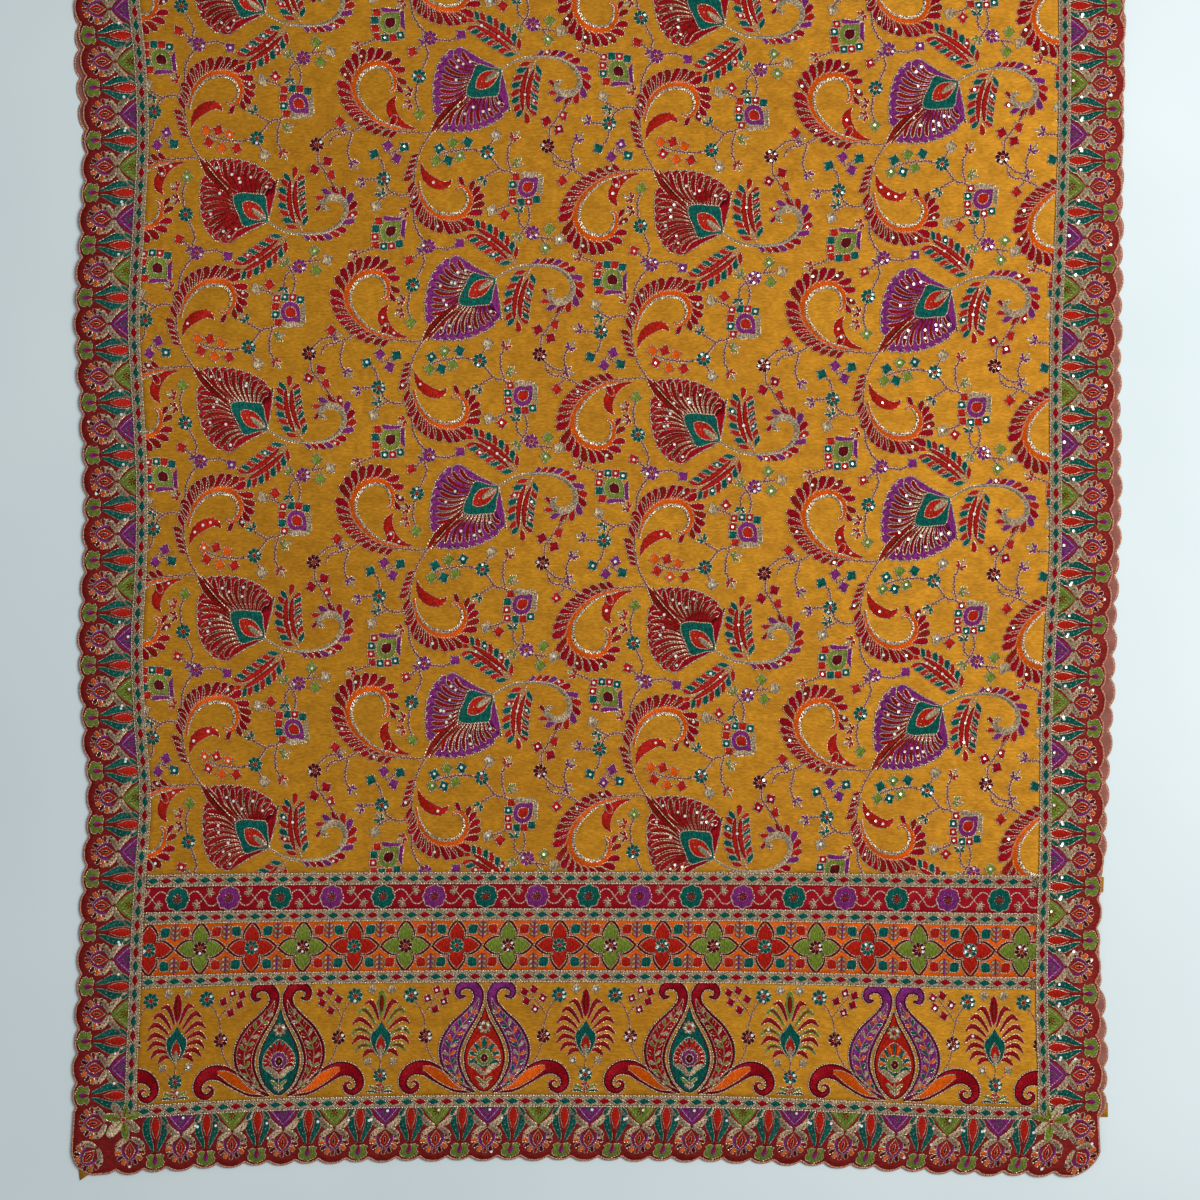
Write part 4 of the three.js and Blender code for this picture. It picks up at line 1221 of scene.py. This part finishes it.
FIELD_STEP = 188.9
UNIT_REACH = 190
FIELD_COLUMNS = [  # across and along of one apex in each column, and whether the unit is upside down
    (-31.7, 989.5, True), (172.5, 851.7, False), (382.8, 989.5, True),
    (587.1, 841.1, False), (798.0, 979.0, True), (1001.6, 831.0, False),
]


def stamp_field():
    plain = field_unit("crimson", ("orange", "scarlet"), "rust", 0.93, 1.9)
    violet = field_unit("purple", ("green", "teal"), "rust", 0.84, 2.5)
    keep = between_braids(FIELD_SEAM, STITCH_END)
    for across, along, upside_down in FIELD_COLUMNS:
        for row in range(-3, 6):
            at = along - row * FIELD_STEP
            if FIELD_SEAM - UNIT_REACH < at < FOLD_END + UNIT_REACH:
                if upside_down:
                    stamp(violet, across, at, "field_violet", UPSIDE_DOWN, keep)
                else:
                    stamp(plain, across, at, "field_plain", keep=keep)


SIDE_REPEATS = 27  # after the first scallop by the corner
END_REPEATS = 19
CORNER_TURN = math.sqrt(0.5)


def stamp_borders():
    palmettes = [palmette("green"), palmette("purple")]
    bare, bloom, star = palmette(), tulip(), corner_star()
    for side, matrix, edge in (("left", UP_THE_LEFT, 0), ("right", UP_THE_RIGHT, CLOTH_WIDTH)):
        repeat, first = SCALLOPS[side]
        stamp(bare, edge, first, "border", matrix)
        for k in range(1, SIDE_REPEATS + 1):
            stamp(palmettes[k % 2], edge, first + k * repeat, "border", matrix)
            stamp(bloom, edge, first + (k - 0.5) * repeat, "border", matrix)
    repeat, first = SCALLOPS["end"]
    for k in range(1, END_REPEATS + 1):
        last = k == END_REPEATS
        stamp(bare if last or k == 1 else palmettes[(k + 1) % 2], first + k * repeat, 0, "border")
        if not last:
            stamp(bloom, first + (k + 0.5) * repeat, 0, "border")
    for edge, flip in ((0, 1), (CLOTH_WIDTH, -1)):
        diagonal = ((flip * CORNER_TURN, flip * CORNER_TURN), (-CORNER_TURN, CORNER_TURN))
        stamp(bare, edge + flip * 1.5, 1.5, "border", diagonal)
        stamp(star, edge, 0, "border", ((flip, 0), (0, 1)))


FIRST_ROSETTE, ROSETTE_STEP = 91, 47.7
FIRST_FOIL, FOIL_STEP = 66.8, 47.6
FIRST_PAISLEY, PAISLEY_STEP = 190.9, 189
FIRST_PALM, PALM_STEP = 95.5, 188.8
PANEL_FOOT = 61.5
FIRST_LOZENGE, LOZENGE_STEP, CROSS_LOZENGES = 67.4, 12.1, 68


def stamp_bands():
    middle = (QUATREFOIL_SEAM + FIELD_SEAM) / 2
    keep = between_braids(QUATREFOIL_SEAM, FIELD_SEAM)
    rosettes = [rosette("teal"), rosette("purple")]
    vines = [rosette_vine(1), rosette_vine(-1)]
    for k in range(-1, 18):
        for motifs in (rosettes, vines):
            stamp(motifs[k % 2], FIRST_ROSETTE + ROSETTE_STEP * k, middle, "pallu", keep=keep)
    middle = (PAISLEY_SEAM + QUATREFOIL_SEAM) / 2
    keep = between_braids(PAISLEY_SEAM, QUATREFOIL_SEAM)
    foils = [quatrefoil("scarlet", "teal", "teal"), quatrefoil("green", "scarlet", "maroon")]
    sprig = band_sprig()
    for k in range(18):
        stamp(foils[k % 2], FIRST_FOIL + FOIL_STEP * k, middle, "pallu", keep=keep)
        stamp(sprig, FIRST_FOIL + FOIL_STEP * (k + 0.5), middle, "pallu", keep=keep)


def stamp_panel():
    pairs = [
        paisley_pair("crimson", ("green", "ecru", "rust"), "teal", "purple", ("crimson", "scarlet")),
        paisley_pair("purple", ("teal", "orange", "ecru"), "scarlet", "green", ("teal", "orange")),
    ]
    palms = [palm_flower("crimson"), palm_flower("green")]
    keep = between_braids(BORDER_CUT, PAISLEY_SEAM)
    for k in range(-1, 5):
        stamp(pairs[k % 2], FIRST_PAISLEY + PAISLEY_STEP * k, PANEL_FOOT, "pallu", keep=keep)
    for k in range(5):
        stamp(palms[k % 2], FIRST_PALM + PALM_STEP * k, PANEL_FOOT, "pallu", keep=keep)


def stamp_braids():
    units = [braid_unit("teal"), braid_unit("crimson")]
    for k in range(1 + int((HALF_LENGTH - BORDER_CUT) / LOZENGE_STEP)):
        for seam in (INNER_LEFT, INNER_RIGHT):
            stamp(units[k % 2], seam, BORDER_CUT + LOZENGE_STEP * (k + 0.5), "braid", UP_THE_RIGHT)
    for seam in (BORDER_CUT, PAISLEY_SEAM, QUATREFOIL_SEAM, FIELD_SEAM):
        for k in range(CROSS_LOZENGES):
            stamp(units[k % 2], FIRST_LOZENGE + LOZENGE_STEP * k, seam, "braid")


# ---- Meshes ------------------------------------------------------------------------------------


def mesh_object(name, points, faces, uv, material, slot):
    """A smooth mesh from arrays, riding on the one body."""
    mesh = bpy.data.meshes.new(name)
    mesh.from_pydata(points.tolist(), [], faces.tolist())
    mesh.uv_layers.new(name="flat")
    corners = np.empty(len(mesh.loops), dtype=np.int32)
    mesh.loops.foreach_get("vertex_index", corners)
    mesh.uv_layers["flat"].data.foreach_set("uv", np.asarray(uv)[corners].ravel())
    mesh.polygons.foreach_set("use_smooth", np.ones(len(mesh.polygons), dtype=bool))
    mesh.materials.append(material)
    piece = bpy.data.objects.new(name, mesh)
    bpy.context.collection.objects.link(piece)
    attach(piece, "root")
    return piece


def joined(parts):
    """Parts of a thread as one mesh's points, faces and texture places."""
    offsets = np.cumsum([0] + [len(points) for points, _, _ in parts[:-1]])
    faces = np.vstack([faces + offset for (_, faces, _), offset in zip(parts, offsets)])
    return np.vstack([points for points, _, _ in parts]), faces, np.vstack([uv for _, _, uv in parts])


def build_stitches():
    for (region, thread), parts in stitches.items():
        points, faces, uv = joined(parts)
        used, faces = np.unique(faces, return_inverse=True)
        points, uv = points[used], uv[used]
        placed = lay(points[:, 0], points[:, 1], points[:, 2])
        mesh_object(f"{region}_{thread}", placed, faces.reshape(-1, 4), uv, *THREADS[thread])


SEQUIN_RADII = 1.15, 1.4
SEQUIN_TILT = 0.07
SEQUIN_RINGS = ((1, 1.25), (0.35, 1.15))  # share of the radius, height


def build_sequins():
    """Small cupped discs, each tilted a little its own way."""
    circle = ring((0, 0), 1, 8)
    points, faces = [], []
    for number, (u, v) in enumerate(sequins):
        radius = rng.uniform(*SEQUIN_RADII)
        tilt = rng.normal(0, SEQUIN_TILT, 2)
        for share, lift in SEQUIN_RINGS:
            flat = circle * radius * share
            points.append(np.column_stack([flat + (u, v), lift + flat @ tilt]))
        first = number * 16  # eight points on the rim, then eight round the flat middle
        i, j = np.arange(8), (np.arange(8) + 1) % 8
        faces.append(np.stack([i, j, j + 8, i + 8], axis=1) + first)
        faces.append(np.array([(8, 9, 10, 11), (8, 11, 12, 15), (12, 13, 14, 15)]) + first)
    points = np.vstack(points)
    placed = lay(points[:, 0], points[:, 1], points[:, 2])
    mesh_object("sequins", placed, np.vstack(faces), points[:, :2], SEQUIN, "sequins")


PANEL_THICKNESS = 0.7
BORDER_THICKNESS = 0.9
BRAID_THICKNESS = 0.95
BRAID_RISE = 0.98
UNDER_THICKNESS = 0.8
CELL = 10  # length of a cloth's quads


def closed_cloth(name, grid, top, low, material, slot, node):
    """A closed thin cloth from the places of a grid's top and low points."""
    rows, columns = grid.shape[:2]
    flat = grid.reshape(-1, 2)
    count = len(flat)
    ids = np.arange(count).reshape(rows, columns)
    quads = np.stack([ids[:-1, :-1], ids[:-1, 1:], ids[1:, 1:], ids[1:, :-1]], axis=-1).reshape(-1, 4)
    rim = np.concatenate([ids[0, :-1], ids[:-1, -1], ids[-1, :0:-1], ids[:0:-1, 0]])
    after = np.roll(rim, -1)
    wall = np.stack([rim, rim + count, after + count, after], axis=1)
    faces = np.vstack([quads, quads[:, ::-1] + count, wall])
    piece = mesh_object(name, np.vstack([top, low]), faces, np.vstack([flat, flat]), material, slot)
    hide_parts(node)


def shell(name, grid, thickness, rise, material, slot, node):
    """A closed thin cloth on the laid cloth, from a grid of (across, along) points in rows."""
    u, v = grid.reshape(-1, 2).T
    closed_cloth(name, grid, lay(u, v, rise), lay(u, v, rise - thickness), material, slot, node)


def grid_between(across, along):
    u, v = np.meshgrid(across, along)
    return np.stack([u, v], axis=-1)


def spaced(low, high, step):
    return np.linspace(low, high, max(2, int(round((high - low) / step)) + 1))


WIDE_SHARE = 0.545  # of the repeat: a palmette's scallop, with a tulip's narrower one beside it
WIDE_DEPTH = 4.5
NARROW_DEPTH = 3.6
SCALLOP_ROUNDNESS = 2.4
SCALLOP_STEP = 2.0
CORNER_RADIUS = 22
SIDE_FADE, END_FADE = 8, 12  # over which the scallops set in after the corner
BORDER_SHARES = np.array([0, 0.12, 0.4, 0.7, 1])
EDGE_CORD_INSET = 0.9


def scallop_inset(at, edge):
    """How far the scalloped edge lies in from its tips."""
    repeat, first = SCALLOPS[edge]
    place = np.mod((at - first) / repeat + 0.5, 1) - 0.5
    wide_half = WIDE_SHARE / 2
    wide = WIDE_DEPTH * (np.abs(place) / wide_half) ** SCALLOP_ROUNDNESS
    from_middle = (0.5 - np.abs(place)) / (0.5 - wide_half)
    narrow = WIDE_DEPTH - NARROW_DEPTH * (1 - np.clip(from_middle, 0, 1) ** SCALLOP_ROUNDNESS)
    return np.where(np.abs(place) < wide_half, wide, narrow)


def edge_places(low, high):
    """Sections along a scalloped edge, close together, and closer still round the fold."""
    flat = spaced(low, min(high, FOLD_START), SCALLOP_STEP)
    if high <= FOLD_START:
        return flat
    return np.concatenate([flat, np.linspace(FOLD_START, FOLD_START + FOLD_ARC, 9)[1:], [high]])


def side_border(side, low, high, node):
    along = edge_places(low, high)
    inset = scallop_inset(along, side)
    across = inset[:, None] + (BORDER_CUT - inset[:, None]) * BORDER_SHARES
    cord = inset + EDGE_CORD_INSET
    if side == "right":
        across, cord = CLOTH_WIDTH - across[:, ::-1], CLOTH_WIDTH - cord
    grid = np.stack([across, np.broadcast_to(along[:, None], across.shape)], axis=-1)
    shell(f"{node}_cloth", grid, BORDER_THICKNESS, 0, MAROON, "maroon_cloth", node)
    add_edge_cord(np.column_stack([cord, along]))


def add_edge_cord(path):
    """The cord that binds the scallops."""
    motif = Motif()
    motif.ribbon("edge", path, 0.85, -0.15, 0.95)
    stamp(motif, 0, 0, "border")


def end_border():
    """The strip of the scalloped end, with its rounded corners."""
    angle = np.linspace(0, math.pi / 2, 12)
    corner = CORNER_RADIUS * np.column_stack([1 - np.cos(angle), 1 - np.sin(angle)])
    side = spaced(BORDER_CUT, CORNER_RADIUS, SCALLOP_STEP)[:-1]
    set_in = smooth(side, CORNER_RADIUS, CORNER_RADIUS + SIDE_FADE)
    left_side = np.column_stack([scallop_inset(side, "left") * set_in, side])
    right_side = np.column_stack([CLOTH_WIDTH - scallop_inset(side, "right") * set_in, side])
    across = spaced(CORNER_RADIUS, CLOTH_WIDTH - CORNER_RADIUS, SCALLOP_STEP)[1:-1]
    set_in = smooth(across, CORNER_RADIUS, CORNER_RADIUS + END_FADE)
    set_in *= 1 - smooth(across, CLOTH_WIDTH - CORNER_RADIUS - END_FADE, CLOTH_WIDTH - CORNER_RADIUS)
    bottom = np.column_stack([across, scallop_inset(across, "end") * set_in])
    far_corner = (corner * [-1, 1] + [CLOTH_WIDTH, 0])[::-1]
    outer = np.vstack([left_side, corner, bottom, far_corner, right_side[::-1]])
    inner = np.column_stack([np.clip(outer[:, 0], INNER_LEFT, INNER_RIGHT), np.full(len(outer), BORDER_CUT)])
    inner[:, 0] += np.linspace(-0.05, 0.05, len(outer))  # keeps the corners' quads from closing up
    grid = outer + (inner - outer) * BORDER_SHARES[:, None, None]
    node = "border_pallu_end"
    shell(f"{node}_cloth", grid, BORDER_THICKNESS, 0, MAROON, "maroon_cloth", node)
    add_edge_cord(outer + normals(outer) * EDGE_CORD_INSET)


UNDER_END_Y = -613
UNDER_SHARES = np.array([0, 0.004, 0.03, 0.25, 0.5, 0.75, 0.97, 0.996, 1])


def under_cloth():
    """The half beneath, with its paler wrong side up."""
    y = spaced(UNDER_END_Y, END_Y + FOLD_START - FOLD_RETURN, SCALLOP_STEP)
    left = curve_through(UNDER_ROWS, 1, y) + scallop_inset(y, "left")
    right = curve_through(UNDER_ROWS, 2, y) - scallop_inset(y, "right")
    x = left[:, None] + (right - left)[:, None] * UNDER_SHARES
    grid = np.stack([x, np.broadcast_to(y[:, None], x.shape)], axis=-1)
    flat = grid.reshape(-1, 2)
    top, low = (np.column_stack([flat, np.full(len(flat), z)]) * MM for z in (UNDER_THICKNESS, 0))
    closed_cloth("under_cloth", grid, top, low, REVERSE, "reverse_cloth", "under_half")
    build_under_edging(y, left, right)


RAW_CORNERS = [  # the ground's raw selvedge where it slips out: corners of each bit
    [(-474, -611), (-455, -611), (-460.5, -627), (-471, -634)],
    [(439, -357.5), (457.4, -359), (456.8, -372.5), (439, -371)],
    [(447, -563), (461, -564), (461, -576.5), (447, -576)],
]
RAW_LEVELS = (0.75, 0.1)


def build_under_edging(y, left, right):
    """The cord on the hidden half's scallops and the raw bits of ground that show past it."""
    edging = Motif()
    for edge in (left + 1, right - 1):
        edging.ribbon("edge", np.column_stack([edge, y]), 0.9, 0.7, 0.5)
    points, faces, uv = joined(edging.parts["edge"])
    mesh_object("under_edging", points * MM, faces, uv, *THREADS["edge"])
    corners = np.array(RAW_CORNERS, float)
    levels = [np.concatenate([corners, np.full((3, 4, 1), h)], axis=2) for h in RAW_LEVELS]
    points = np.concatenate(levels, axis=1).reshape(-1, 3)
    box = np.array([(3, 2, 1, 0), (4, 5, 6, 7), (1, 5, 4, 0), (2, 6, 5, 1), (3, 7, 6, 2), (0, 4, 7, 3)])
    faces = np.vstack([box + 8 * k for k in range(3)])
    mesh_object("raw_selvedge", points * MM, faces, points[:, :2], MUSTARD, "mustard_cloth")


CLOTHS = [  # piece, its ends along, material, slot, node
    ("field_cloth", (FIELD_SEAM, FOLD_START), MUSTARD, "mustard_cloth", "field_panel"),
    ("paisley_cloth", (BORDER_CUT, PAISLEY_SEAM), MUSTARD, "mustard_cloth", "paisley_panel"),
    ("quatrefoil_cloth", (PAISLEY_SEAM, QUATREFOIL_SEAM), ORANGE, "orange_cloth", "quatrefoil_band"),
    ("rosette_cloth", (QUATREFOIL_SEAM, FIELD_SEAM), CRIMSON, "crimson_cloth", "rosette_band"),
]


def build_cloths():
    """The panels between the seams. The field goes on round the fold."""
    across = spaced(INNER_LEFT, INNER_RIGHT, CELL)
    fold = np.concatenate([np.linspace(FOLD_START, FOLD_START + FOLD_ARC, 11)[1:], [FOLD_END]])
    for name, ends, material, slot, node in CLOTHS:
        along = spaced(*ends, CELL)
        if name == "field_cloth":
            along = np.concatenate([along, fold])
        shell(name, grid_between(across, along), PANEL_THICKNESS, 0, material, slot, node)


BRAID_GAP = 0.3
CROSS_BRAIDS = [  # node, seam
    ("braid_pallu_end", BORDER_CUT), ("braid_quatrefoil", PAISLEY_SEAM), ("braid_rosette", QUATREFOIL_SEAM),
    ("braid_field_end", FIELD_SEAM),
]


def build_braid(node, across, along):
    grid = grid_between(across, along)
    shell(f"{node}_cloth", grid, BRAID_THICKNESS, BRAID_RISE, BRAID, "gold_cord", node)


def build_braids():
    half = BRAID_WIDTH / 2
    profile = np.array([-1, -0.6, 0, 0.6, 1]) * half
    fold = np.linspace(FOLD_START, STITCH_END, 7)[1:]
    lengths = {
        "braid_pallu": spaced(BORDER_CUT - half, FIELD_SEAM, CELL),
        "braid": np.concatenate([spaced(FIELD_SEAM + BRAID_GAP, FOLD_START, CELL), fold]),
    }
    for side, seam in (("left", INNER_LEFT), ("right", INNER_RIGHT)):
        for prefix, along in lengths.items():
            build_braid(f"{prefix}_{side}", seam + profile, along)
    across = spaced(INNER_LEFT + half + BRAID_GAP, INNER_RIGHT - half - BRAID_GAP, CELL)
    for node, seam in CROSS_BRAIDS:
        build_braid(node, across, seam + profile)


SHEETS = [  # piece, flat width and length in metres, how it is held, what it lies on, stitches' region
    ("field_cloth", 0.84, 1.011, "folded", ["under_cloth"], "field"),
    ("paisley_cloth", 0.84, 0.113, "laid", ["under_cloth"], "pallu"),
    ("quatrefoil_cloth", 0.84, 0.056, "laid", ["under_cloth"], None),
    ("rosette_cloth", 0.84, 0.033, "laid", ["under_cloth"], None),
    ("border_left_cloth", 0.055, 1.011, "folded", ["under_cloth"], None),
    ("border_right_cloth", 0.055, 1.011, "folded", ["under_cloth"], None),
    ("border_pallu_left_cloth", 0.055, 0.202, "laid", ["under_cloth"], None),
    ("border_pallu_right_cloth", 0.055, 0.202, "laid", ["under_cloth"], None),
    ("border_pallu_end_cloth", 0.95, 0.055, "laid", ["under_cloth"], "border"),
    ("braid_left_cloth", 0.0105, 0.994, "laid", ["field_cloth", "border_left_cloth"], None),
    ("braid_right_cloth", 0.0105, 0.994, "laid", ["field_cloth", "border_right_cloth"], None),
    ("braid_pallu_left_cloth", 0.0105, 0.207, "laid", ["paisley_cloth", "border_pallu_left_cloth"], None),
    ("braid_pallu_right_cloth", 0.0105, 0.207, "laid", ["paisley_cloth", "border_pallu_right_cloth"], None),
    ("braid_pallu_end_cloth", 0.829, 0.0105, "laid", ["paisley_cloth", "border_pallu_end_cloth"], "braid"),
    ("braid_quatrefoil_cloth", 0.829, 0.0105, "laid", ["paisley_cloth", "quatrefoil_cloth"], None),
    ("braid_rosette_cloth", 0.829, 0.0105, "laid", ["quatrefoil_cloth", "rosette_cloth"], None),
    ("braid_field_end_cloth", 0.829, 0.0105, "laid", ["rosette_cloth", "field_cloth"], None),
    ("under_cloth", 0.95, 1.228, "laid", [], None),
]
SEWN_ON = {"field_cloth": ["sequins"], "under_cloth": ["under_edging", "raw_selvedge"]}


def declare_sheets():
    """Gathers, for each cloth, the names of its region's stitch pieces and of what is sewn on it, and does
    nothing more with them.
    """
    for name, width, length, held, beneath, region in SHEETS:
        sewn_on = [f"{place}_{thread}" for place, thread in stitches if region and place.startswith(region)]
        sewn_on += SEWN_ON.get(name, [])


build_cloths()
build_braids()
for side in ("left", "right"):
    side_border(side, FIELD_SEAM, FOLD_END, f"border_{side}")
for side in ("left", "right"):
    side_border(side, BORDER_CUT, FIELD_SEAM, f"border_pallu_{side}")
end_border()
under_cloth()

stamp_field()
stamp_borders()
stamp_bands()
stamp_panel()
stamp_braids()
build_stitches()
build_sequins()
declare_sheets()

# ---- Surroundings ------------------------------------------------------------------------------

FLOOR_HALF = 15
FLOOR_DROP = 0.2 * MM
LIGHTS = [  # name, place, target, size, power, colour
    ("key", (1.35, 0.35, 1.9), (0.3, 0, 0), (1.3, 1.5), 51, (1.0, 0.985, 0.96)),
    ("fill", (-1.2, -1.3, 2.2), (0, 0, 0), (1.4, 1.4), 4, (0.9, 0.96, 1.0)),
]
SKY_COLOUR = (0.86, 0.93, 1.0, 1)
SKY_STRENGTH = 0.34


def make_floor():
    mesh = bpy.data.meshes.new("floor")
    corners = [(-1, -1), (1, -1), (1, 1), (-1, 1)]
    mesh.from_pydata([(x * FLOOR_HALF, y * FLOOR_HALF, 0) for x, y in corners], [], [(0, 1, 2, 3)])
    mesh.materials.append(floor_material())
    floor = bpy.data.objects.new("floor", mesh)
    floor.location.z = -FLOOR_DROP
    bpy.context.collection.objects.link(floor)


def make_light(name, place, target, size, power, colour):
    data = bpy.data.lights.new(name, "AREA")
    data.shape = "RECTANGLE"
    data.size, data.size_y = size
    data.energy = power
    data.color = colour
    light = bpy.data.objects.new(name, data)
    light.location = place
    x, y, z = np.array(target) - np.array(place)
    light.rotation_euler = (0, -math.atan2(math.hypot(x, y), -z), math.atan2(y, x))
    bpy.context.collection.objects.link(light)


def make_world():
    world = bpy.data.worlds.new("studio")
    world.use_nodes = True
    background = world.node_tree.nodes["Background"]
    background.inputs["Color"].default_value = SKY_COLOUR
    background.inputs["Strength"].default_value = SKY_STRENGTH
    bpy.context.scene.world = world


make_floor()
make_world()
for light in LIGHTS:
    make_light(*light)
bpy.context.scene.view_settings.view_transform = "Standard"
